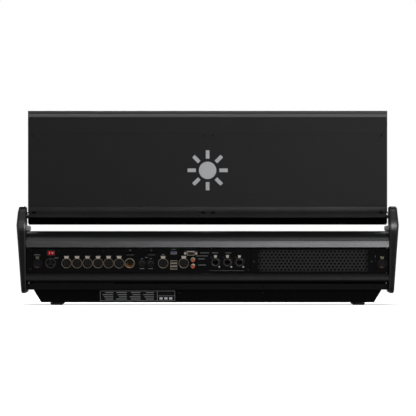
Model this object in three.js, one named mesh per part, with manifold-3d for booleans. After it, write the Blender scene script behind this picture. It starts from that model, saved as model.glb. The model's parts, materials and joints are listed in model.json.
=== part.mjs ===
// Lighting control desk with a tilting two-screen monitor wing, in millimetres.
// The operator sits at -Y and faces +Y; the connectors look out at +Y; +X is the operator's right.
// The origin lies on the table, under the middle of the desk.
import * as THREE from "three";
import { mergeVertices } from "three/addons/utils/BufferGeometryUtils.js";
import Module from "manifold-3d";

const wasm = await Module();
wasm.setup();

// ---- Driving dimensions ----
const WIDTH = 874; // over the two side cheeks
const DEPTH = 656; // front of the cheeks to their rear knee
const FRONT = -DEPTH / 2;
const REAR = DEPTH / 2;
const CHEEK = 22; // thickness of a cheek
const GAP = 0.3; // clearance between pieces that touch
const SHEET = 2; // folded sheet metal
const INNER = WIDTH / 2 - CHEEK; // inner face of a cheek
const SPAN = INNER - 0.5; // half length of what runs from cheek to cheek

const FOOT_HEIGHT = 6;
const TRAY_TOP = 35; // bottom tray meets base pan
const PAN_TOP = 49; // top of the base pan's rear wall
const DECK_TOP = 169; // flat top behind the controls
const CHEEK_TOP = 226; // top of the cheeks beside the monitor wing

const SLOPE = THREE.MathUtils.degToRad(15); // control panel's rise towards the rear
const PANEL_FRONT = { y: FRONT + 57, z: 82 };
const PANEL_LENGTH = 325; // along the slope
const PANEL_SHEET = 2.5;
const PANEL_END = {
  y: PANEL_FRONT.y + PANEL_LENGTH * Math.cos(SLOPE),
  z: PANEL_FRONT.z + PANEL_LENGTH * Math.sin(SLOPE),
};

const REAR_TILT = THREE.MathUtils.degToRad(14); // connector panels lean out at the top
const REAR_FOOT = { y: REAR - 38, z: 73.6 };
const REAR_HEIGHT = 57.4; // along the tilted panels

const PIVOT = { y: 80, z: 206 }; // monitor wing's hinge line
const WING_LEAN = THREE.MathUtils.degToRad(3);
const WING_HALF = 411; // half width of the rear cover
const BEZEL_HALF = 413;
const WING_TOP = 232; // above the hinge line
const BEZEL_TOP = 239;
const COVER_BACK = 24; // behind the hinge line
const BEZEL_BACK = -8.3;
const BEZEL_FRONT = -20;
const PIN_RADIUS = 8;

// ---- Finishes ----
const finish = (color, roughness, metalness) =>
  new THREE.MeshStandardMaterial({ color, roughness, metalness });
const BLACK_PAINT = finish(0x1b1b1d, 0.45, 0.1);
const BLACK_ANODISED = finish(0x1d1d20, 0.35, 0.7);
const BLACK_PLASTIC = finish(0x121213, 0.5, 0);
const SOFT_BLACK = finish(0x17171a, 0.75, 0);
const RUBBER = finish(0x0c0c0c, 0.9, 0);
const GLASS_BLACK = finish(0x08090b, 0.12, 0);
const STEEL = finish(0xa8a8a6, 0.35, 0.9);
const BOARD_GREEN = finish(0x1d4a2c, 0.6, 0);
const KEY_GREY = finish(0x3b3c40, 0.6, 0);
const CAP_GREY = finish(0xc9c9c6, 0.5, 0);
const SWITCH_RED = finish(0xa3101c, 0.35, 0);

// ---- Building solids ----
function solidOf(geometry) {
  const bare = geometry.index ? geometry.toNonIndexed() : geometry.clone();
  bare.deleteAttribute("normal");
  bare.deleteAttribute("uv");
  const merged = mergeVertices(bare, 1e-4);
  return new wasm.Manifold(
    new wasm.Mesh({
      numProp: 3,
      vertProperties: merged.attributes.position.array,
      triVerts: new Uint32Array(merged.index.array),
    }),
  );
}

function geometryOf(solid) {
  const mesh = solid.getMesh();
  const geometry = new THREE.BufferGeometry();
  geometry.setAttribute("position", new THREE.BufferAttribute(mesh.vertProperties, 3));
  geometry.setIndex(new THREE.BufferAttribute(mesh.triVerts, 1));
  geometry.computeVertexNormals();
  return geometry;
}

const join = (...solids) => solids.flat().reduce((a, b) => a.add(b));
const cut = (solid, ...tools) => tools.flat().reduce((a, b) => a.subtract(b), solid);
const range = (count) => Array.from({ length: count }, (_, i) => i);
const placed = (solid, matrix) => solidOf(geometryOf(solid).applyMatrix4(matrix));

// A block between two corners.
function block(x0, x1, y0, y1, z0, z1) {
  const geometry = new THREE.BoxGeometry(x1 - x0, y1 - y0, z1 - z0);
  return solidOf(geometry.translate((x0 + x1) / 2, (y0 + y1) / 2, (z0 + z1) / 2));
}

// A closed outline through corners [a, b, r]; r is how far the rounding reaches along each edge.
function outline(corners) {
  const shape = new THREE.Shape();
  corners.forEach(([a, b, reach = 0], i) => {
    const corner = new THREE.Vector2(a, b);
    const before = new THREE.Vector2(...corners.at(i - 1));
    const after = new THREE.Vector2(...corners[(i + 1) % corners.length]);
    const start = corner.clone().add(before.sub(corner).setLength(reach));
    const end = corner.clone().add(after.sub(corner).setLength(reach));
    if (i === 0) shape.moveTo(start.x, start.y);
    else shape.lineTo(start.x, start.y);
    if (reach > 0) shape.quadraticCurveTo(a, b, end.x, end.y);
  });
  shape.closePath();
  return shape;
}

function extrusion(corners, length, curveSegments = 4) {
  return new THREE.ExtrudeGeometry(outline(corners), {
    depth: length,
    bevelEnabled: false,
    curveSegments,
  });
}

// Corners are (y, z), extruded along X.
function prismX(corners, x0, x1, curveSegments) {
  const turn = new THREE.Matrix4().makeBasis(
    new THREE.Vector3(0, 1, 0),
    new THREE.Vector3(0, 0, 1),
    new THREE.Vector3(1, 0, 0),
  );
  const geometry = extrusion(corners, x1 - x0, curveSegments).applyMatrix4(turn);
  return solidOf(geometry.translate(x0, 0, 0));
}

// Corners are (x, z), extruded along Y.
function prismY(corners, y0, y1) {
  const geometry = extrusion(corners, y1 - y0).rotateX(Math.PI / 2);
  return solidOf(geometry.translate(0, y1, 0));
}

// Corners are (x, y), extruded along Z.
function prismZ(corners, z0, z1) {
  return solidOf(extrusion(corners, z1 - z0).translate(0, 0, z0));
}

// A round bar along an axis, from one end to the other, through the other two coordinates.
function rod(axis, radius, from, to, a, b, segments = 24) {
  const bar = new THREE.CylinderGeometry(radius, radius, to - from, segments);
  const middle = (from + to) / 2;
  if (axis === "x") bar.rotateZ(Math.PI / 2).translate(middle, a, b);
  if (axis === "y") bar.translate(a, middle, b);
  if (axis === "z") bar.rotateX(Math.PI / 2).translate(a, b, middle);
  return solidOf(bar);
}

// A turned piece about Z from (radius, z) pairs that start and end on the axis.
function turned(profile, segments = 24) {
  const points = profile.map(([r, z]) => new THREE.Vector2(r, z));
  return solidOf(new THREE.LatheGeometry(points, segments).rotateX(Math.PI / 2));
}

// ---- The assembly ----
const desk = new THREE.Group();
const slope = new THREE.Group(); // X, up the slope, out of the control panel
slope.position.set(0, PANEL_FRONT.y, PANEL_FRONT.z);
slope.rotation.x = SLOPE;
const rear = new THREE.Group(); // X, out of the connector panels, up along them
rear.position.set(0, REAR_FOOT.y, REAR_FOOT.z);
rear.rotation.x = -REAR_TILT;
const wing = new THREE.Group(); // X, rearwards, up from the hinge line
wing.position.set(0, PIVOT.y, PIVOT.z);
wing.rotation.x = -WING_LEAN;
desk.add(slope, rear, wing);
desk.updateMatrixWorld(true);

function part(group, name, solid, material, at = [0, 0, 0]) {
  const mesh = new THREE.Mesh(geometryOf(solid), material);
  mesh.name = name;
  mesh.position.set(...at);
  group.add(mesh);
  return mesh;
}

// ---- Side cheeks: cast plates that carry the wing's hinge pins; the folded wing lies between them ----
const CHEEK_OUTLINE = [
  [REAR - 36, 27, 16],
  [REAR, 172, 7],
  [REAR, 188, 7],
  [REAR - 11, CHEEK_TOP, 12],
  [48, CHEEK_TOP, 20],
  [16, 171, 24],
  [FRONT + 11, 78, 11],
  [FRONT, 60, 9],
  [FRONT, 42, 8],
  [FRONT + 15, 27, 10],
];
const CHEEK_EDGE = 5; // rounding of a cheek's rim
const KNEE_Z = 183;
const CHEEK_TAPER = 12.5; // how far the outer face draws in from the knee down to the table
const CHEEK_CROWN = 4.5; // how far it draws in from the knee up to the top

// Draws a cheek's outer face in, in step with the height above or below its knee.
function drawnIn(solid, reach, depth) {
  return solid.warp((point) => {
    const outward = (point[0] - INNER) / CHEEK;
    point[0] -= (outward * depth * Math.abs(point[2] - KNEE_Z)) / reach;
  });
}

function cheek() {
  const rim = new THREE.ExtrudeGeometry(outline(CHEEK_OUTLINE), {
    depth: CHEEK - 2 * CHEEK_EDGE,
    bevelThickness: CHEEK_EDGE,
    bevelSize: CHEEK_EDGE,
    bevelOffset: -CHEEK_EDGE,
    bevelSegments: 2,
    curveSegments: 4,
  });
  rim.translate(0, 0, INNER + CHEEK_EDGE);
  const turn = new THREE.Matrix4().makeBasis(
    new THREE.Vector3(0, 1, 0),
    new THREE.Vector3(0, 0, 1),
    new THREE.Vector3(1, 0, 0),
  );
  const [upper, lower] = solidOf(rim.applyMatrix4(turn)).splitByPlane([0, 0, 1], KNEE_Z);
  const plate = join(drawnIn(upper, CHEEK_TOP - KNEE_Z, CHEEK_CROWN), drawnIn(lower, KNEE_Z, CHEEK_TAPER));
  return cut(plate, rod("x", PIN_RADIUS + 0.4, INNER - 1, INNER + 16, PIVOT.y, PIVOT.z, 32));
}
part(desk, "right_cheek", cheek(), BLACK_PAINT);
part(desk, "left_cheek", cheek(), BLACK_PAINT).scale.x = -1;

// ---- Bottom tray, base pan and feet ----
const TRAY_FRONT = FRONT + 65;
const TRAY_REAR = REAR - 63;
const TRAY_TOP_HALF = 398;
const TRAY_FOOT_HALF = 381;
const trayOuter = prismY(
  [
    [-TRAY_FOOT_HALF, FOOT_HEIGHT],
    [TRAY_FOOT_HALF, FOOT_HEIGHT],
    [TRAY_TOP_HALF, TRAY_TOP - GAP],
    [-TRAY_TOP_HALF, TRAY_TOP - GAP],
  ],
  TRAY_FRONT,
  TRAY_REAR,
);
const trayInner = prismY(
  [
    [-TRAY_FOOT_HALF + SHEET, FOOT_HEIGHT + SHEET],
    [TRAY_FOOT_HALF - SHEET, FOOT_HEIGHT + SHEET],
    [TRAY_TOP_HALF - SHEET + 1, TRAY_TOP + 1],
    [-TRAY_TOP_HALF + SHEET - 1, TRAY_TOP + 1],
  ],
  TRAY_FRONT + SHEET,
  TRAY_REAR - SHEET,
);
part(desk, "bottom_tray", cut(trayOuter, trayInner), BLACK_PAINT);

const PAN_FRONT = FRONT + 22;
const PAN_REAR = REAR - 49;
const DRAWER_HALF = 250; // half width of the keyboard drawer
const DRAWER_TOP = 57;
const panOuter = join(
  block(-SPAN, SPAN, PAN_FRONT, PAN_REAR, TRAY_TOP, TRAY_TOP + SHEET),
  block(-SPAN, SPAN, PAN_REAR - SHEET, PAN_REAR, TRAY_TOP, PAN_TOP),
  block(-SPAN, SPAN, PAN_FRONT, PAN_FRONT + SHEET, TRAY_TOP, DRAWER_TOP),
);
const drawerMouth = block(
  -DRAWER_HALF - 2,
  DRAWER_HALF + 2,
  PAN_FRONT - 1,
  PAN_FRONT + SHEET + 1,
  TRAY_TOP + SHEET,
  DRAWER_TOP + 1,
);
part(desk, "base_pan", cut(panOuter, drawerMouth), BLACK_PAINT);

const FOOT_X = 345.5;
const FOOT_Y = { front: FRONT + 97, rear: REAR - 91 };
for (const [side, sign] of [["left", -1], ["right", 1]]) {
  for (const [end, y] of Object.entries(FOOT_Y)) {
    const foot = turned([[0, 0], [12.5, 0], [14.5, 2], [14.5, FOOT_HEIGHT - GAP], [0, FOOT_HEIGHT - GAP]]);
    part(desk, `foot_${end}_${side}`, foot, RUBBER, [sign * FOOT_X, y, 0]);
  }
}

// ---- Rear profiles: extruded aluminium above and below the connector panels ----
const LIP_Z = 131; // lower edge of the upper profile
const upperProfile = prismX(
  [
    [REAR - 78, DECK_TOP],
    [REAR - 78, DECK_TOP - 6],
    [REAR - 57, DECK_TOP - 6],
    [REAR - 39, 150, 10],
    [REAR - 27, LIP_Z + 2.2],
    [REAR - 27, LIP_Z],
    [REAR - 13, LIP_Z, 1.5],
    [REAR - 13, DECK_TOP - 14, 13],
    [REAR - 37, DECK_TOP, 13],
  ],
  -SPAN,
  SPAN,
  6,
);
part(desk, "rear_upper_profile", upperProfile, BLACK_ANODISED);

const lowerProfile = prismX(
  [
    [REAR - 41.5, 72.6],
    [REAR - 53, 68],
    [REAR - 53, 54],
    [REAR - 41, 52, 1],
    [REAR - 31.5, 55, 4],
    [REAR - 32, 68, 7],
    [REAR - 38.5, 72.6],
  ],
  -SPAN,
  SPAN,
  6,
);
part(desk, "rear_lower_profile", lowerProfile, BLACK_ANODISED);

// ---- Connector panels, in the rear group ----
const SOCKET_ROW = 22.8; // height of the round sockets' axes up the panels
const DMX = { count: 6, first: 322.7, pitch: 24.06 };
const DMX_IN_X = 178.3;
const VIDEO_X = [177.1, 128.6];
const TOP_ROW = 47;
const MIDI_X = [150, 130];
const SYNC_X = 101.7;
const USB_X = 77.5;
const AUDIO_X = 54.5;
const DSUB_X = 38.6;
const PHONO = { x: 33.8, rows: [31.3, 16.4] };
const NETWORK_X = [-17.9, -45.4, -72.9];
const NETWORK_ROW = 25;
const LAMP_ROW = 21;
const LAMP_X = { right: 389.4, left: -399 };
const SWITCH = { x: 358.6, row: 47, half: 7.4, halfHeight: 4.6 };
const INLET_X = 359.5;
const SOCKET_RADIUS = 11.2;
const FLANGE_RADIUS = 11.8;
const HOLE_CLEAR = 0.3;
const RISER = { back: -20.5, front: -18.5 }; // circuit board behind the connectors

const DIVIDERS = { mains: 335.7, fan: -98, lamp: -383.5 };
const panelPlate = (x0, x1) => block(x0, x1, -SHEET, 0, 0, REAR_HEIGHT);
const roundHole = (x, row, radius) => rod("y", radius + HOLE_CLEAR, -SHEET - 1, 1, x, row);
const slotHole = (x, row, halfWide, halfTall) =>
  block(
    x - halfWide - HOLE_CLEAR,
    x + halfWide + HOLE_CLEAR,
    -SHEET - 1,
    1,
    row - halfTall - HOLE_CLEAR,
    row + halfTall + HOLE_CLEAR,
  );

part(
  rear,
  "mains_panel",
  cut(
    panelPlate(DIVIDERS.mains + GAP, SPAN - GAP),
    roundHole(LAMP_X.right, LAMP_ROW, 10),
    roundHole(INLET_X, SOCKET_ROW, SOCKET_RADIUS),
    slotHole(SWITCH.x, SWITCH.row, SWITCH.half + 0.6, SWITCH.halfHeight + 0.2),
  ),
  BLACK_PAINT,
);

const dmxX = range(DMX.count).map((i) => DMX.first - i * DMX.pitch);
const VIDEO_HALF = { wide: 10, tall: 4.2 };
const USB_HALF = { wide: 6.9, tall: 3.2 };
const USB_STACK = { row: 18.5, wide: 8, tall: 10.8 };
const DSUB_HALF = { wide: 9.5, tall: 5.6 };
const DSUB_FLANGE = { wide: 15.5, tall: 6.2 };
const MIDI_RADIUS = 8.6;
const PHONO_RADIUS = 4.4;
part(
  rear,
  "connector_panel",
  cut(
    panelPlate(DIVIDERS.fan + GAP, DIVIDERS.mains - GAP),
    dmxX.map((x) => roundHole(x, SOCKET_ROW, SOCKET_RADIUS)),
    [DMX_IN_X, SYNC_X, AUDIO_X].map((x) => roundHole(x, SOCKET_ROW, SOCKET_RADIUS)),
    VIDEO_X.map((x) => slotHole(x, TOP_ROW, VIDEO_HALF.wide, VIDEO_HALF.tall)),
    MIDI_X.map((x) => roundHole(x, SOCKET_ROW, MIDI_RADIUS)),
    slotHole(USB_X, TOP_ROW, USB_HALF.wide, USB_HALF.tall),
    slotHole(USB_X, USB_STACK.row, USB_STACK.wide, USB_STACK.tall),
    slotHole(DSUB_X, TOP_ROW, DSUB_HALF.wide, DSUB_HALF.tall),
    PHONO.rows.map((row) => roundHole(PHONO.x, row, PHONO_RADIUS)),
    NETWORK_X.map((x) => roundHole(x, NETWORK_ROW, SOCKET_RADIUS)),
  ),
  BLACK_PAINT,
);

const GRILLE = { first: -110.5, pitch: 31.5, columns: 8, slotHalf: 14, rows: 5, rowPitch: 9, low: 11 };
const grilleSlots = range(GRILLE.columns).flatMap((i) =>
  range(GRILLE.rows).map((j) =>
    slotHole(
      GRILLE.first - GRILLE.pitch * (i + 0.5),
      GRILLE.low + GRILLE.rowPitch * j,
      GRILLE.slotHalf,
      2.4,
    ),
  ),
);
part(
  rear,
  "fan_grille",
  cut(panelPlate(DIVIDERS.lamp + GAP, DIVIDERS.fan - GAP), grilleSlots),
  BLACK_PAINT,
);
part(
  rear,
  "lamp_panel",
  cut(panelPlate(-SPAN + GAP, DIVIDERS.lamp - GAP), roundHole(LAMP_X.left, LAMP_ROW, 10)),
  BLACK_PAINT,
);

// A round panel socket whose body passes through its hole, with a flange outside and its tail on the board.
const socketBody = (x, row, radius, flange, tail = RISER.front - 0.2) =>
  join(rod("y", radius, tail, 1, x, row), rod("y", flange, GAP, 1.4, x, row));
const board = (x0, x1, z0, z1) => block(x0, x1, RISER.back, RISER.front, z0, z1);
const boxSocket = (x, row, halfWide, halfTall, front = 1) =>
  block(x - halfWide, x + halfWide, RISER.front - 0.2, front, row - halfTall, row + halfTall);
const videoSocket = (x) => boxSocket(x, TOP_ROW, VIDEO_HALF.wide, VIDEO_HALF.tall);
const dmxBoard = join(
  board(DMX_IN_X - 12, DMX.first + 12, 8, 52),
  [DMX_IN_X, ...dmxX].map((x) => socketBody(x, SOCKET_ROW, SOCKET_RADIUS, FLANGE_RADIUS)),
  videoSocket(VIDEO_X[0]),
);
part(rear, "dmx_board", dmxBoard, STEEL);

// The main board lies flat in the base; its riser carries the video, MIDI, sync, USB, audio and remote sockets.
const MAIN_BOARD = { x0: -60, x1: 170, y0: REAR - 245, y1: REAR - 57, z: 52 };
const ioRiser = join(
  board(26, 161, 1, 54),
  videoSocket(VIDEO_X[1]),
  MIDI_X.map((x) => rod("y", MIDI_RADIUS, RISER.front - 0.2, 0.6, x, SOCKET_ROW)),
  [SYNC_X, AUDIO_X].map((x) => socketBody(x, SOCKET_ROW, SOCKET_RADIUS, FLANGE_RADIUS)),
  boxSocket(USB_X, TOP_ROW, USB_HALF.wide, USB_HALF.tall),
  boxSocket(USB_X, USB_STACK.row, USB_STACK.wide, USB_STACK.tall),
  boxSocket(DSUB_X, TOP_ROW, DSUB_HALF.wide, DSUB_HALF.tall - 1, 5.5),
  block(
    DSUB_X - DSUB_FLANGE.wide,
    DSUB_X + DSUB_FLANGE.wide,
    GAP,
    1.2,
    TOP_ROW - DSUB_FLANGE.tall,
    TOP_ROW + DSUB_FLANGE.tall,
  ),
  PHONO.rows.map((row) => rod("y", PHONO_RADIUS, RISER.front - 0.2, 9, PHONO.x, row)),
);
const mainBoard = join(
  placed(ioRiser, rear.matrixWorld),
  block(MAIN_BOARD.x0, MAIN_BOARD.x1, MAIN_BOARD.y0, MAIN_BOARD.y1, MAIN_BOARD.z, MAIN_BOARD.z + SHEET),
  block(30, 160, REAR - 75, REAR - 55.5, MAIN_BOARD.z, 84), // edge connector block under the riser
  block(-10, 60, REAR - 185, REAR - 115, MAIN_BOARD.z, MAIN_BOARD.z + 26), // processor heat sink
  block(90, 150, REAR - 205, REAR - 195, MAIN_BOARD.z, MAIN_BOARD.z + 22), // memory
);
part(desk, "main_board", mainBoard, BOARD_GREEN);

const networkBoard = join(
  board(NETWORK_X[2] - 14, NETWORK_X[0] + 14, 8, 44),
  NETWORK_X.map((x) => socketBody(x, NETWORK_ROW, SOCKET_RADIUS, FLANGE_RADIUS)),
);
part(rear, "network_board", networkBoard, STEEL);

const inlet = socketBody(INLET_X, SOCKET_ROW, SOCKET_RADIUS, FLANGE_RADIUS + 0.6, -26);
part(rear, "mains_inlet", inlet, BLACK_PLASTIC);
for (const [side, x] of Object.entries(LAMP_X)) {
  part(rear, `lamp_socket_${side}`, socketBody(x, LAMP_ROW, 10, 11.4, -22), STEEL);
}

// Rocker switch, resting tipped to one side; it rocks about an axis up the panel.
const ROCKER_TIP = THREE.MathUtils.degToRad(7);
const ROCKER_PIVOT = -3;
const rocker = prismZ(
  [
    [-SWITCH.half, -6, 1],
    [SWITCH.half, -6, 1],
    [SWITCH.half - 0.2, 4.2, 1],
    [0, 3, 2],
    [-SWITCH.half + 0.2, 4.2, 1],
  ],
  -SWITCH.halfHeight + 0.3,
  SWITCH.halfHeight - 0.3,
);
part(rear, "power_switch", rocker, SWITCH_RED, [SWITCH.x, ROCKER_PIVOT, SWITCH.row]).rotation.z = ROCKER_TIP;

// ---- Fans behind the grille ----
const FAN_X = { left: -308, right: -172 };
const FAN_ROW = 29;
const FAN_BORE = 23.5;
const fanBracket = join(
  cut(
    block(-345, -135, -27, -9, 2, REAR_HEIGHT - 2),
    Object.values(FAN_X).map((x) => rod("y", FAN_BORE, -30, -5, x, FAN_ROW, 32)),
  ),
  Object.values(FAN_X).flatMap((x) => [
    block(x - FAN_BORE - 1, x + FAN_BORE + 1, -27, -25, FAN_ROW - 1.5, FAN_ROW + 1.5),
    rod("y", 8, -27, -24.5, x, FAN_ROW, 16),
  ]),
);
part(rear, "fan_bracket", fanBracket, BLACK_PLASTIC);
const BLADES = 7;
const BLADE_PITCH = THREE.MathUtils.degToRad(35);
const fanRotor = join(
  rod("y", 9, -6, 6, 0, 0, 20),
  range(BLADES).map((i) => {
    const blade = new THREE.BoxGeometry(1.2, 12, 15).rotateZ(BLADE_PITCH).translate(0, 0, 14.5);
    return solidOf(blade.rotateY((2 * Math.PI * i) / BLADES));
  }),
);
for (const [side, x] of Object.entries(FAN_X)) {
  part(rear, `fan_rotor_${side}`, fanRotor, BLACK_PLASTIC, [x, -17, FAN_ROW]);
}

part(desk, "power_supply", block(215, 400, REAR - 205, REAR - 85, TRAY_TOP + SHEET + GAP, 84), STEEL);

// ---- Control panel and what stands in it, in the slope group ----
const FADER = { count: 10, first: -388, pitch: 38, slot0: 57, slot1: 129, travel: 60, rest: 65 };
const FADER_SLOT = 4;
const MAT = { top: -3.2, bottom: -6 }; // key mats lie just under the panel
const KEY_TOP = 3;
const EXEC = { x0: -407, x1: -27, rows: [34, 148, 168, 276, 298], keyWide: 26, keyTall: 13 };
const EXEC_WINDOWS = [[24, 44], [138, 178], [266, 308]];
const STRIP_SCREEN = { x0: -407, x1: -27, v0: 190, v1: 252 };
const COMMAND_SCREEN = { x0: -8, x1: 226, v0: 184, v1: 316 };
const ENCODER = { count: 4, first: 19, pitch: 60, v: 158, radius: 13 };
const GRID = {
  main: { x0: -2, v0: 18, columns: 10, rows: 5, pitchX: 25.4, pitchV: 23, wide: 19, tall: 14 },
  number: { x0: 264, v0: 18, columns: 4, rows: 4, pitchX: 23.5, pitchV: 23, wide: 18, tall: 14 },
  view: { x0: 240, v0: 186, columns: 7, rows: 5, pitchX: 23.8, pitchV: 25.4, wide: 18, tall: 14 },
};
const TRACKBALL = { x: 310, v: 146, radius: 22, sunk: 8 };
const WHEEL = { x: 384, v: 146, radius: 30, half: 7, sunk: 14 };
const PLAY_KEYS = { names: ["back_key", "pause_key", "go_key"], x: 385, v: [32, 62, 92], half: [18, 12] };

const gridBox = (g) => [g.x0, g.x0 + g.columns * g.pitchX, g.v0, g.v0 + g.rows * g.pitchV];
const faderX = range(FADER.count).map((i) => FADER.first + i * FADER.pitch);
const through = (x0, x1, v0, v1) => block(x0, x1, v0, v1, -PANEL_SHEET - 1, 1);
const controlPanel = cut(
  block(-SPAN, SPAN, 0, PANEL_LENGTH, -PANEL_SHEET, 0),
  faderX.map((x) => through(x - FADER_SLOT / 2, x + FADER_SLOT / 2, FADER.slot0, FADER.slot1)),
  EXEC_WINDOWS.map(([v0, v1]) => through(EXEC.x0, EXEC.x1, v0, v1)),
  through(STRIP_SCREEN.x0, STRIP_SCREEN.x1, STRIP_SCREEN.v0, STRIP_SCREEN.v1),
  through(COMMAND_SCREEN.x0, COMMAND_SCREEN.x1, COMMAND_SCREEN.v0, COMMAND_SCREEN.v1),
  Object.values(GRID).map((g) => through(...gridBox(g))),
  range(ENCODER.count).map((i) =>
    rod("z", 4, -PANEL_SHEET - 1, 1, ENCODER.first + i * ENCODER.pitch, ENCODER.v, 16),
  ),
  rod("z", TRACKBALL.radius - 0.2, -PANEL_SHEET - 1, 1, TRACKBALL.x, TRACKBALL.v, 32),
  through(WHEEL.x - WHEEL.half - 1, WHEEL.x + WHEEL.half + 1, WHEEL.v - 29, WHEEL.v + 29),
  PLAY_KEYS.v.map((v) =>
    through(
      PLAY_KEYS.x - PLAY_KEYS.half[0] - 0.6,
      PLAY_KEYS.x + PLAY_KEYS.half[0] + 0.6,
      v - PLAY_KEYS.half[1] - 0.6,
      v + PLAY_KEYS.half[1] + 0.6,
    ),
  ),
);
// The same sheet runs on flat as the deck under the folded wing.
const deckSheet = join(
  placed(controlPanel, slope.matrixWorld),
  prismX(
    [
      [PANEL_END.y - 2, PANEL_END.z - PANEL_SHEET],
      [PANEL_END.y - 0.4, PANEL_END.z - 0.2],
      [PANEL_END.y + 8, DECK_TOP],
      [REAR - 78.3, DECK_TOP],
      [REAR - 78.3, DECK_TOP - PANEL_SHEET],
      [PANEL_END.y + 8, DECK_TOP - PANEL_SHEET],
    ],
    -SPAN,
    SPAN,
  ),
);
part(desk, "control_panel", deckSheet, BLACK_PAINT);

// Key mats: one moulded sheet under the panel with a pad that fills each window and the keys standing on it.
const matPad = (x0, x1, v0, v1) => block(x0 + 0.5, x1 - 0.5, v0 + 0.5, v1 - 0.5, MAT.top - 0.1, -0.4);
const keyCap = (x, v, wide, tall) =>
  block(x - wide / 2, x + wide / 2, v - tall / 2, v + tall / 2, -0.5, KEY_TOP);
const execMat = join(
  cut(
    block(EXEC.x0 - 3, EXEC.x1 + 3, 18, 314, MAT.bottom, MAT.top),
    block(EXEC.x0 + 1, EXEC.x1 - 1, FADER.slot0 - 3, FADER.slot1 + 3, MAT.bottom - 1, MAT.top + 1),
    block(EXEC.x0 + 1, EXEC.x1 - 1, STRIP_SCREEN.v0 + 1, STRIP_SCREEN.v1 - 1, MAT.bottom - 1, MAT.top + 1),
  ),
  EXEC_WINDOWS.map(([v0, v1]) => matPad(EXEC.x0, EXEC.x1, v0, v1)),
  EXEC.rows.flatMap((v) => faderX.map((x) => keyCap(x, v, EXEC.keyWide, EXEC.keyTall))),
);
part(slope, "executor_keys", execMat, KEY_GREY);

const gridKeys = (g) =>
  range(g.columns).flatMap((i) =>
    range(g.rows).map((j) =>
      keyCap(g.x0 + g.pitchX * (i + 0.5), g.v0 + g.pitchV * (j + 0.5), g.wide, g.tall),
    ),
  );
const commandMat = join(
  block(-5, 362, 14, 118, MAT.bottom, MAT.top),
  block(236, 410, 182, 316, MAT.bottom, MAT.top),
  block(240, 262, 110, 190, MAT.bottom, MAT.top),
  Object.values(GRID).map((g) => matPad(...gridBox(g))),
  Object.values(GRID).flatMap(gridKeys),
);
part(slope, "command_keys", commandMat, KEY_GREY);

const screenGlass = ({ x0, x1, v0, v1 }, deep) =>
  join(
    block(x0 + GAP, x1 - GAP, v0 + GAP, v1 - GAP, -PANEL_SHEET - 0.5, -0.3),
    block(x0 + 6, x1 - 6, v0 + 5, v1 - 5, -deep, -PANEL_SHEET - 0.4),
  );
part(slope, "strip_screen", screenGlass(STRIP_SCREEN, 10), GLASS_BLACK);
part(slope, "command_screen", screenGlass(COMMAND_SCREEN, 14), GLASS_BLACK);

const encoder = turned([
  [0, -8],
  [3, -8],
  [3, 1.2],
  [ENCODER.radius, 1.2],
  [ENCODER.radius - 0.6, 11],
  [9.2, 12],
  [8.8, 21],
  [7.6, 22],
  [0, 22],
]);
range(ENCODER.count).forEach((i) => {
  const at = [ENCODER.first + i * ENCODER.pitch, ENCODER.v, 0];
  part(slope, `encoder_${i + 1}`, encoder, BLACK_PLASTIC, at);
});

const ball = solidOf(new THREE.SphereGeometry(TRACKBALL.radius - 1.6, 24, 14).rotateX(Math.PI / 2));
part(slope, "trackball", ball, SWITCH_RED, [TRACKBALL.x, TRACKBALL.v, -TRACKBALL.sunk]);
const wheel = join(
  rod("x", WHEEL.radius, -WHEEL.half, WHEEL.half, 0, 0, 36),
  rod("x", 3, -WHEEL.half - 5, WHEEL.half + 5, 0, 0, 12),
);
part(slope, "level_wheel", wheel, SOFT_BLACK, [WHEEL.x, WHEEL.v, -WHEEL.sunk]);

const PLAY_TOP = 5.5;
PLAY_KEYS.names.forEach((name, i) => {
  const [halfX, halfV] = PLAY_KEYS.half;
  const cap = join(
    prismX([[-halfV, -2.2], [halfV, -2.2], [halfV, PLAY_TOP, 1.5], [-halfV, PLAY_TOP, 1.5]], -halfX, halfX, 2),
    block(-3, 3, -3, 3, -9, -2),
  );
  part(slope, name, cap, KEY_GREY, [PLAY_KEYS.x, PLAY_KEYS.v[i], 0]);
});

// Faders: a concave finger cap on a blade that runs down through the slot into the track.
const CAP = { half: 6, long: 12.5, low: 5, high: 17, dip: 3 };
const faderCap = join(
  prismX(
    [
      [-CAP.long, CAP.low],
      [CAP.long, CAP.low],
      [CAP.long - 2, CAP.high, 1.5],
      [0, CAP.high - 2 * CAP.dip, 9],
      [-CAP.long + 2, CAP.high, 1.5],
    ],
    -CAP.half,
    CAP.half,
    3,
  ),
  block(-1, 1, -4, 4, -18, CAP.low + 0.5),
);
faderX.forEach((x, i) => part(slope, `fader_${i + 1}`, faderCap, CAP_GREY, [x, FADER.rest, 0]));

const TRACK = { top: -4.5, bottom: -22, wall: 3, groove: 2.5 };
const faderBoard = join(
  block(-405, -29, FADER.slot0 - 1, FADER.slot1 + 1, TRACK.bottom - SHEET, TRACK.bottom),
  faderX.flatMap((x) =>
    [-1, 1].map((sign) => {
      const inner = x + sign * TRACK.groove;
      const outer = x + sign * (TRACK.groove + TRACK.wall);
      return block(
        Math.min(inner, outer),
        Math.max(inner, outer),
        FADER.slot0 - 1,
        FADER.slot1 + 1,
        TRACK.bottom - 0.5,
        TRACK.top,
      );
    }),
  ),
);
part(slope, "fader_board", faderBoard, BOARD_GREEN);

// ---- Palm rest and keyboard drawer at the front ----
const palmRest = prismX(
  [
    [FRONT + 56, 58],
    [FRONT + 56, 80.2, 3],
    [FRONT + 25, 78, 14],
    [FRONT + 1.5, 68, 6],
    [FRONT + 3, 58, 3],
  ],
  -SPAN,
  SPAN,
  5,
);
part(desk, "palm_rest", palmRest, SOFT_BLACK);

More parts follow.
